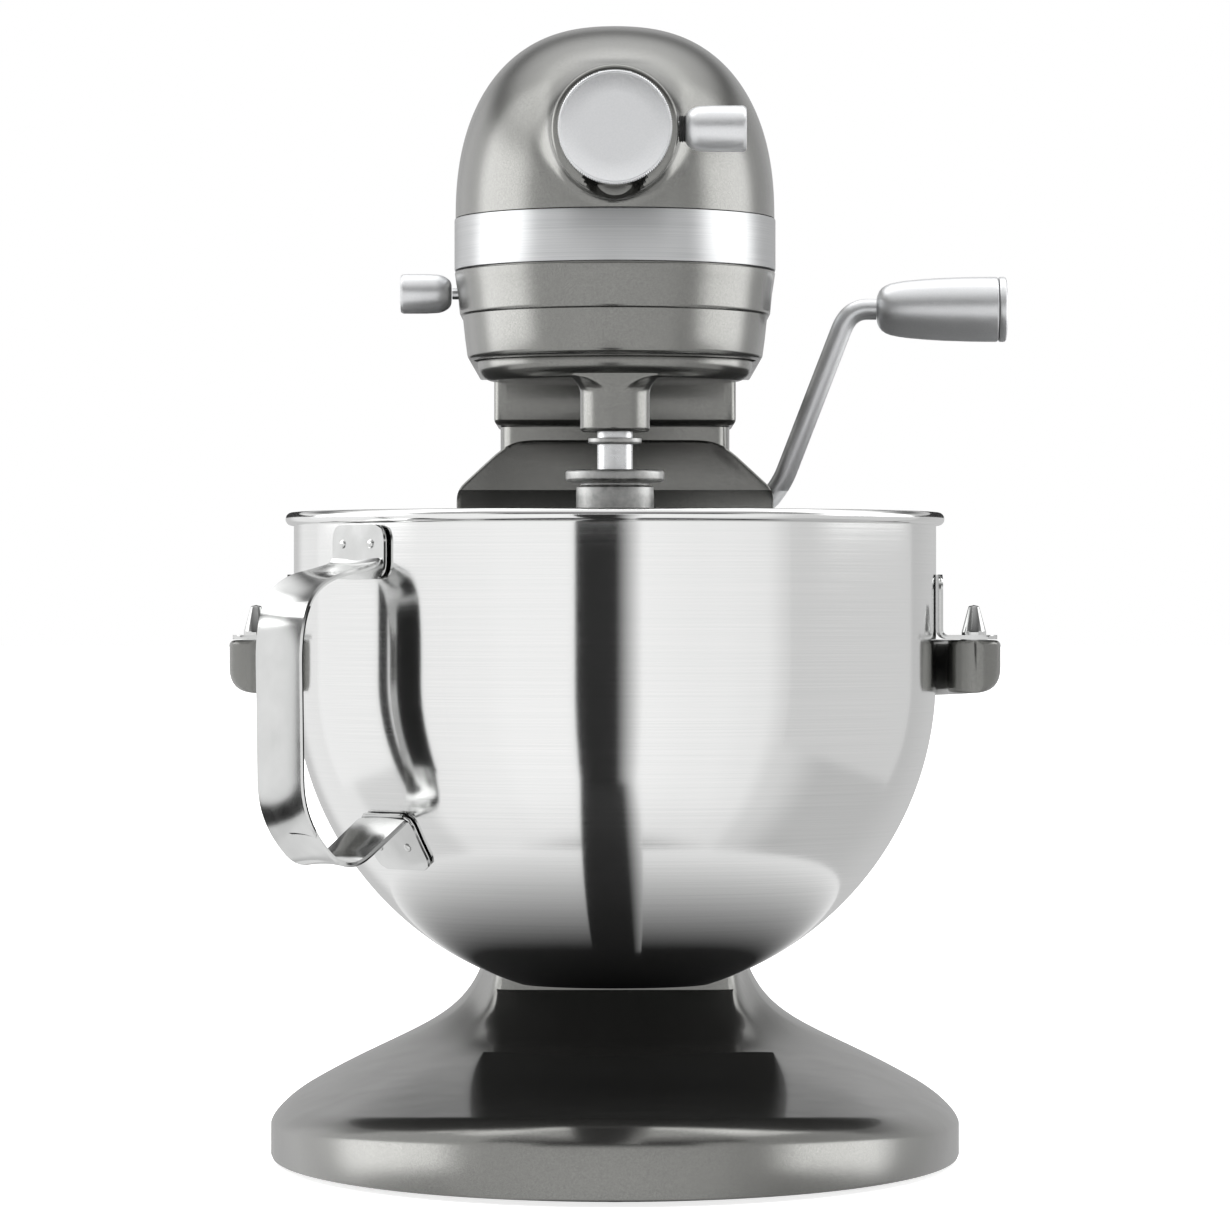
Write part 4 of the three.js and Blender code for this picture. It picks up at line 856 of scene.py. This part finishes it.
def dough_hook():
    sleeve = turned([(6.75, 250), (6.75, 254.1), (16.9, 254.1), (17.6, 253.4), (17.6, 250.6), (17, 249.9),
                     (12.3, 249.6), (12.3, 248.4), (13.7, 248.2), (13.9, 245), (13.9, 216), (9, 206),
                     (7, 198), (0, 198)], 0.5)
    bore = [(6.75, 250), (6.75, 240)]
    path, radii = [], []
    for k in range(97):
        share = k / 96
        swing = 36 * math.sin(math.pi * share) ** 1.3 if 0 < share < 1 else 0
        turn = -math.pi / 2 + 1.6 * math.pi * share
        path.append((swing * math.cos(turn), swing * math.sin(turn), 208 - 112 * share))
        if share < 0.97:
            radii.append(6.3 * (1 - 0.12 * share))
        else:
            radii.append(6.3 * 0.88 * math.sqrt(max(1 - ((share - 0.97) / 0.031) ** 2, 0.02)))
    return moved(joined(sleeve, lathe(bore, segments=96), tube(path, radii, 28)), (0, -ORBIT, 0))


add("planetary_casting", planetary_dish(), "body_paint", "planetary", ["planetary_dish"], 40)
shaft = turned([(0, 219.5), (5.6, 219.5), (6.35, 220.4), (6.35, 305.7), (0, 305.7)], 0.2, segments=64)
add("agitator_spindle", moved(shaft, (0, -ORBIT, 0)), "machined_steel", "agitator", ["agitator_shaft"])
ring = turned([(6.65, 263.3), (9.1, 263.3), (9.5, 263.9), (9.5, 265.5), (6.65, 265.5)], 0.3, segments=64)
add("retaining_washer", moved(ring, (0, -ORBIT, 0)), "cast_metal", "agitator", ["retaining_ring"])
add("dough_hook_casting", dough_hook(), "cast_metal", "hook", ["dough_hook"], 40)

# ---------------------------------------------------------------- finish on the carried-over nodes

node_slots = {part["node"]: part["material_slot"] for part in frame["record"]["subparts"]}
for node, piece in frame["nodes"].items():
    for slot in piece.material_slots:
        slot.material = FINISHES[node_slots[node]]

# ---------------------------------------------------------------- studio


def ramp_node(tree, value, stops):
    """A smooth grey ramp through (position, level) stops."""
    ramp = tree.nodes.new("ShaderNodeValToRGB")
    ramp.color_ramp.interpolation = "EASE"
    elements = ramp.color_ramp.elements
    while len(elements) < len(stops):
        elements.new(0.5)
    for element, (position, level) in zip(elements, stops):
        element.position = position
        element.color = (level, level, level, 1)
    tree.links.new(value, ramp.inputs["Fac"])
    return ramp.outputs["Color"]


def math_node(tree, operation, *values):
    node = tree.nodes.new("ShaderNodeMath")
    node.operation = operation
    for socket, value in zip(node.inputs, values):
        if isinstance(value, (int, float)):
            socket.default_value = value
        else:
            tree.links.new(value, socket)
    return node.outputs[0]


# Light by direction: azimuth share 0.5 is towards the front and grows to the right,
# and height share 0.5 is level.
SIDES_AROUND = [
    (0.0, 0.55), (0.05, 0.6), (0.09, 0.9), (0.15, 0.9), (0.17, 0.75), (0.245, 0.75), (0.275, 0.95),
    (0.36, 1.0), (0.40, 0.0), (0.60, 0.0), (0.65, 0.93), (0.68, 0.76), (0.75, 0.55),
    (0.84, 0.55), (0.93, 0.6), (1.0, 0.55),
]
SIDES_HEIGHT = [(0.0, 0.0), (0.04, 0.03), (0.09, 0.9), (0.2, 1.0), (0.64, 1.0), (0.74, 0.05), (1.0, 0.0)]
FRONT_AROUND = [(0.0, 0.0), (0.36, 0.0), (0.40, 1.04), (0.5, 1.04), (0.60, 0.98), (0.65, 0.0), (1.0, 0.0)]
FRONT_HEIGHT = [(0.0, 0.0), (0.04, 0.03), (0.09, 0.9), (0.2, 1.0), (0.55, 1.0), (0.63, 0.05), (1.0, 0.0)]
STRIPS_AROUND = [
    (0.0, 0.0), (0.13, 0.0), (0.165, 1.0), (0.245, 1.0), (0.30, 0.0), (0.70, 0.0), (0.755, 1.0), (0.835, 1.0),
    (0.87, 0.0), (1.0, 0.0),
]
STRIPS_HEIGHT = [
    (0.0, 0.0), (0.34, 0.0), (0.42, 1.0), (0.62, 1.0), (0.76, 0.6), (0.90, 0.4), (0.97, 0.0), (1.0, 0.0),
]
STRIP_LIGHT = 2.1
TOP_HEIGHT = [(0.0, 0.0), (0.70, 0.0), (0.84, 0.5), (0.93, 1.0), (1.0, 1.0)]
TOP_AROUND = [(0.0, 1.0), (0.2, 1.0), (0.32, 0.5), (0.68, 0.5), (0.8, 1.0), (1.0, 1.0)]
TOP_LIGHT = 2.1
# Cards that only reflections see: a black flag before the bowl whose right edge fades out, a white card at
# each side, and sheets among the parts that paint light and shade into reflections: black paper low under the
# flag as painted reflection, a black canopy of painted shade over the foot, two discs between the bowl and
# the foot as painted reflection, the upper one glowing white towards its edge, black backing of painted shade
# before the foot's neck, a black slip of painted shade left of the handle, and a narrow black painted shade
# inside the handle.
BOWL_AXIS_X, BOWL_AXIS_Y = -0.005, -0.045  # metres, in the frame
CAMERA_PLACE, CAMERA_LENS = (-0.005, -2.445, 0.2024), 193.9  # metres and millimetres: level, far and long
FLAG_X, FLAG_Y, FLAG_Z, FLAG_FADE = (-0.0435, 0.0225), -0.26, (0.05, 0.243), (-0.004, 0.0225)
PAINTED_REFLECTION_RUNNER_Z, PAINTED_REFLECTION_RUNNER_FADE = 0.0645, (0.003, 0.0185)
PAINTED_REFLECTION_RUNNER = [(-0.0435, -0.26), (0.0225, -0.26), (0.006, -0.1), (-0.014, -0.1)]
CARD_X, CARD_Y, CARD_Z = 0.3, (-0.26, 0.08), (0.06, 0.245)
PAINTED_SHADE_CANOPY_X, PAINTED_SHADE_CANOPY_Y, PAINTED_SHADE_CANOPY_Z = (-0.2, 0.2), (-0.045, 0.3), 0.25
PAINTED_REFLECTION_DISC_RADIUS, PAINTED_REFLECTION_DISC_Z, PAINTED_REFLECTION_DISC_FADE = 0.13, 0.064, (0.058, 0.13)
PAINTED_SHADE_DISC_RADIUS, PAINTED_SHADE_DISC_Z = 0.13, 0.06
PAINTED_SHADE_BACKING_Y = 0.03
PAINTED_SHADE_BACKING = [(-0.042, 0.020), (0.042, 0.020), (0.068, 0.061), (-0.068, 0.061)]
PAINTED_SHADE_SLIP_X, PAINTED_SHADE_SLIP_Y, PAINTED_SHADE_SLIP_Z = -0.155, (-0.132, -0.123), (0.1, 0.215)
SHADE_RADIUS, SHADE_ACROSS, SHADE_Z = 0.146, (-0.003, 0.014), (0.125, 0.205)


def studio_world():
    world = bpy.data.worlds.new("studio")
    world.use_nodes = True
    tree = world.node_tree
    tree.nodes.clear()
    direction = tree.nodes.new("ShaderNodeTexCoord").outputs["Generated"]
    split = tree.nodes.new("ShaderNodeSeparateXYZ")
    tree.links.new(direction, split.inputs[0])
    x, y, z = split.outputs
    azimuth = math_node(tree, "ARCTAN2", x, math_node(tree, "MULTIPLY", y, -1.0))
    around = math_node(tree, "MULTIPLY_ADD", azimuth, 1 / (2 * math.pi), 0.5)
    height = math_node(tree, "MULTIPLY_ADD", z, 0.5, 0.5)
    def wall(across, up):
        return math_node(tree, "MULTIPLY", ramp_node(tree, around, across), ramp_node(tree, height, up))

    cards = math_node(tree, "ADD", wall(SIDES_AROUND, SIDES_HEIGHT), wall(FRONT_AROUND, FRONT_HEIGHT))
    lower = math_node(tree, "MULTIPLY_ADD", wall(STRIPS_AROUND, STRIPS_HEIGHT), STRIP_LIGHT, cards)
    total = math_node(tree, "MULTIPLY_ADD", wall(TOP_AROUND, TOP_HEIGHT), TOP_LIGHT, lower)
    studio = tree.nodes.new("ShaderNodeBackground")
    tree.links.new(total, studio.inputs["Color"])
    backdrop = tree.nodes.new("ShaderNodeBackground")
    backdrop.inputs["Color"].default_value = (1, 1, 1, 1)
    ray = tree.nodes.new("ShaderNodeLightPath")
    mix = tree.nodes.new("ShaderNodeMixShader")
    output = tree.nodes.new("ShaderNodeOutputWorld")
    tree.links.new(ray.outputs["Is Camera Ray"], mix.inputs["Fac"])
    tree.links.new(studio.outputs[0], mix.inputs[1])
    tree.links.new(backdrop.outputs[0], mix.inputs[2])
    tree.links.new(mix.outputs[0], output.inputs["Surface"])
    bpy.context.scene.world = world


def area_light(name, place, target, size, power):
    light = bpy.data.lights.new(name, "AREA")
    light.shape = "RECTANGLE"
    light.size, light.size_y = size
    light.energy = power
    lamp = bpy.data.objects.new(name, light)
    lamp.location = place
    lamp.rotation_euler = (Vector(target) - Vector(place)).to_track_quat("-Z", "Y").to_euler()
    lamp.visible_glossy = False
    bpy.context.collection.objects.link(lamp)


def studio_floor():
    mesh = bpy.data.meshes.new("floor")
    mesh.from_pydata([(-40, -40, 0), (40, -40, 0), (40, 40, 0), (-40, 40, 0)], [], [(0, 1, 2, 3)])
    floor = bpy.data.objects.new("floor", mesh)
    bpy.context.collection.objects.link(floor)
    material, tree, shader = new_material("floor_paper")
    tone = tinted(tree, noise(tree, 30), (0.92, 0.92, 0.92), (0.95, 0.95, 0.95))
    tree.links.new(tone, shader.inputs["Base Color"])
    shader.inputs["Roughness"].default_value = 0.9
    shader.inputs["Specular IOR Level"].default_value = 0.1
    shader.inputs["Emission Color"].default_value = (1, 1, 1, 1)
    shader.inputs["Emission Strength"].default_value = 0.75
    mesh.materials.append(material)
    floor.visible_glossy = False


def paper(name, corners, glow, fade=None):
    """Paper that only reflections see; over the fade its glow grows, left to right or outwards for a disc."""
    mesh = bpy.data.meshes.new(name)
    mesh.from_pydata(corners, [], [range(len(corners))])
    sheet = bpy.data.objects.new(name, mesh)
    bpy.context.collection.objects.link(sheet)
    material, tree, shader = new_material(name + "_paper")
    tree.links.new(tinted(tree, noise(tree, 30), (0.008,) * 3, (0.012,) * 3), shader.inputs["Base Color"])
    shader.inputs["Roughness"].default_value = 0.9
    shader.inputs["Emission Color"].default_value = (1, 1, 1, 1)
    shader.inputs["Emission Strength"].default_value = glow
    if fade:
        place = tree.nodes.new("ShaderNodeSeparateXYZ")
        tree.links.new(tree.nodes.new("ShaderNodeTexCoord").outputs["Object"], place.inputs[0])
        along = place.outputs["X"]
        if len(corners) > 4:
            x = math_node(tree, "ADD", along, -BOWL_AXIS_X)
            y = math_node(tree, "ADD", place.outputs["Y"], -BOWL_AXIS_Y)
            square = math_node(tree, "MULTIPLY_ADD", y, y, math_node(tree, "MULTIPLY", x, x))
            along = math_node(tree, "SQRT", square)
        tree.links.new(spread(tree, along, 0, glow, *fade), shader.inputs["Emission Strength"])
    mesh.materials.append(material)
    sheet.visible_camera = sheet.visible_diffuse = sheet.visible_shadow = False


def corners_of(first, second):
    """The four corners of a rectangle, going round."""
    return [(first[0], second[0]), (first[1], second[0]), (first[1], second[1]), (first[0], second[1])]


studio_world()
studio_floor()
paper("flag", [(x, FLAG_Y, z) for x, z in corners_of(FLAG_X, FLAG_Z)], 1.04, FLAG_FADE)
# Painted reflection: black paper low before and under the bowl, its glow growing to the right, which the
# bowl's lower wall reflects.
paper("painted_reflection_runner", [(x, y, PAINTED_REFLECTION_RUNNER_Z) for x, y in PAINTED_REFLECTION_RUNNER], 0.9, PAINTED_REFLECTION_RUNNER_FADE)
# Painted shade: a black sheet over the foot, which the foot's top reflects where the bowl shades it.
paper("painted_shade_canopy", [(x, y, PAINTED_SHADE_CANOPY_Z) for x, y in corners_of(PAINTED_SHADE_CANOPY_X, PAINTED_SHADE_CANOPY_Y)], 0)
# Painted reflection in the bowl's bottom: a disc black at its middle and glowing towards its edge, over a
# black disc of painted shade.
for name, radius, z, glow, fade in (
    ("glow_disc", PAINTED_REFLECTION_DISC_RADIUS, PAINTED_REFLECTION_DISC_Z, 0.88, PAINTED_REFLECTION_DISC_FADE),
    ("black_disc", PAINTED_SHADE_DISC_RADIUS, PAINTED_SHADE_DISC_Z, 0, None),
):
    turns = [math.pi * i / 48 for i in range(96)]
    edge = [(BOWL_AXIS_X + radius * math.cos(t), BOWL_AXIS_Y + radius * math.sin(t), z) for t in turns]
    paper(name, edge, glow, fade)
# Painted shade: a black sheet under the bowl before the foot's neck, so reflections there show dark.
paper("painted_shade_backing", [(x, PAINTED_SHADE_BACKING_Y, z) for x, z in PAINTED_SHADE_BACKING], 0)
# Painted shade: a black sheet left of the handle, which the bowl reflects as a dark line beside the handle.
paper("painted_shade_slip", [(PAINTED_SHADE_SLIP_X, y, z) for y, z in corners_of(PAINTED_SHADE_SLIP_Y, PAINTED_SHADE_SLIP_Z)], 0)
# Painted shade: a narrow black sheet inside the handle, which the bowl reflects.
turned_shade = Matrix.Translation((BOWL_AXIS_X, BOWL_AXIS_Y, 0)) @ Matrix.Rotation(HANDLE_TURN, 4, "Z")
shade_corners = corners_of(SHADE_ACROSS, SHADE_Z)
paper("shade", [turned_shade @ Vector((SHADE_RADIUS, y, z)) for y, z in shade_corners], 0)
for name, side, glow in (("left_card", -1, 0.95), ("right_card", 1, 0.66)):
    paper(name, [(side * CARD_X, y, z) for y, z in corners_of(CARD_Y, CARD_Z)], glow)
area_light("key_light", (-1.6, -1.8, 2.4), (0, 0, 0.2), (1.6, 1.6), 22)
area_light("top_light", (0.3, 0.1, 2.6), (0, 0, 0.1), (2.0, 2.0), 16)

camera = bpy.data.objects.new("camera", bpy.data.cameras.new("camera"))
camera.data.lens = CAMERA_LENS
camera.data.sensor_width = 36
camera.location = CAMERA_PLACE
camera.rotation_euler = (math.pi / 2, 0, 0)
bpy.context.collection.objects.link(camera)
bpy.context.scene.camera = camera
bpy.context.scene.view_settings.view_transform = "Standard"
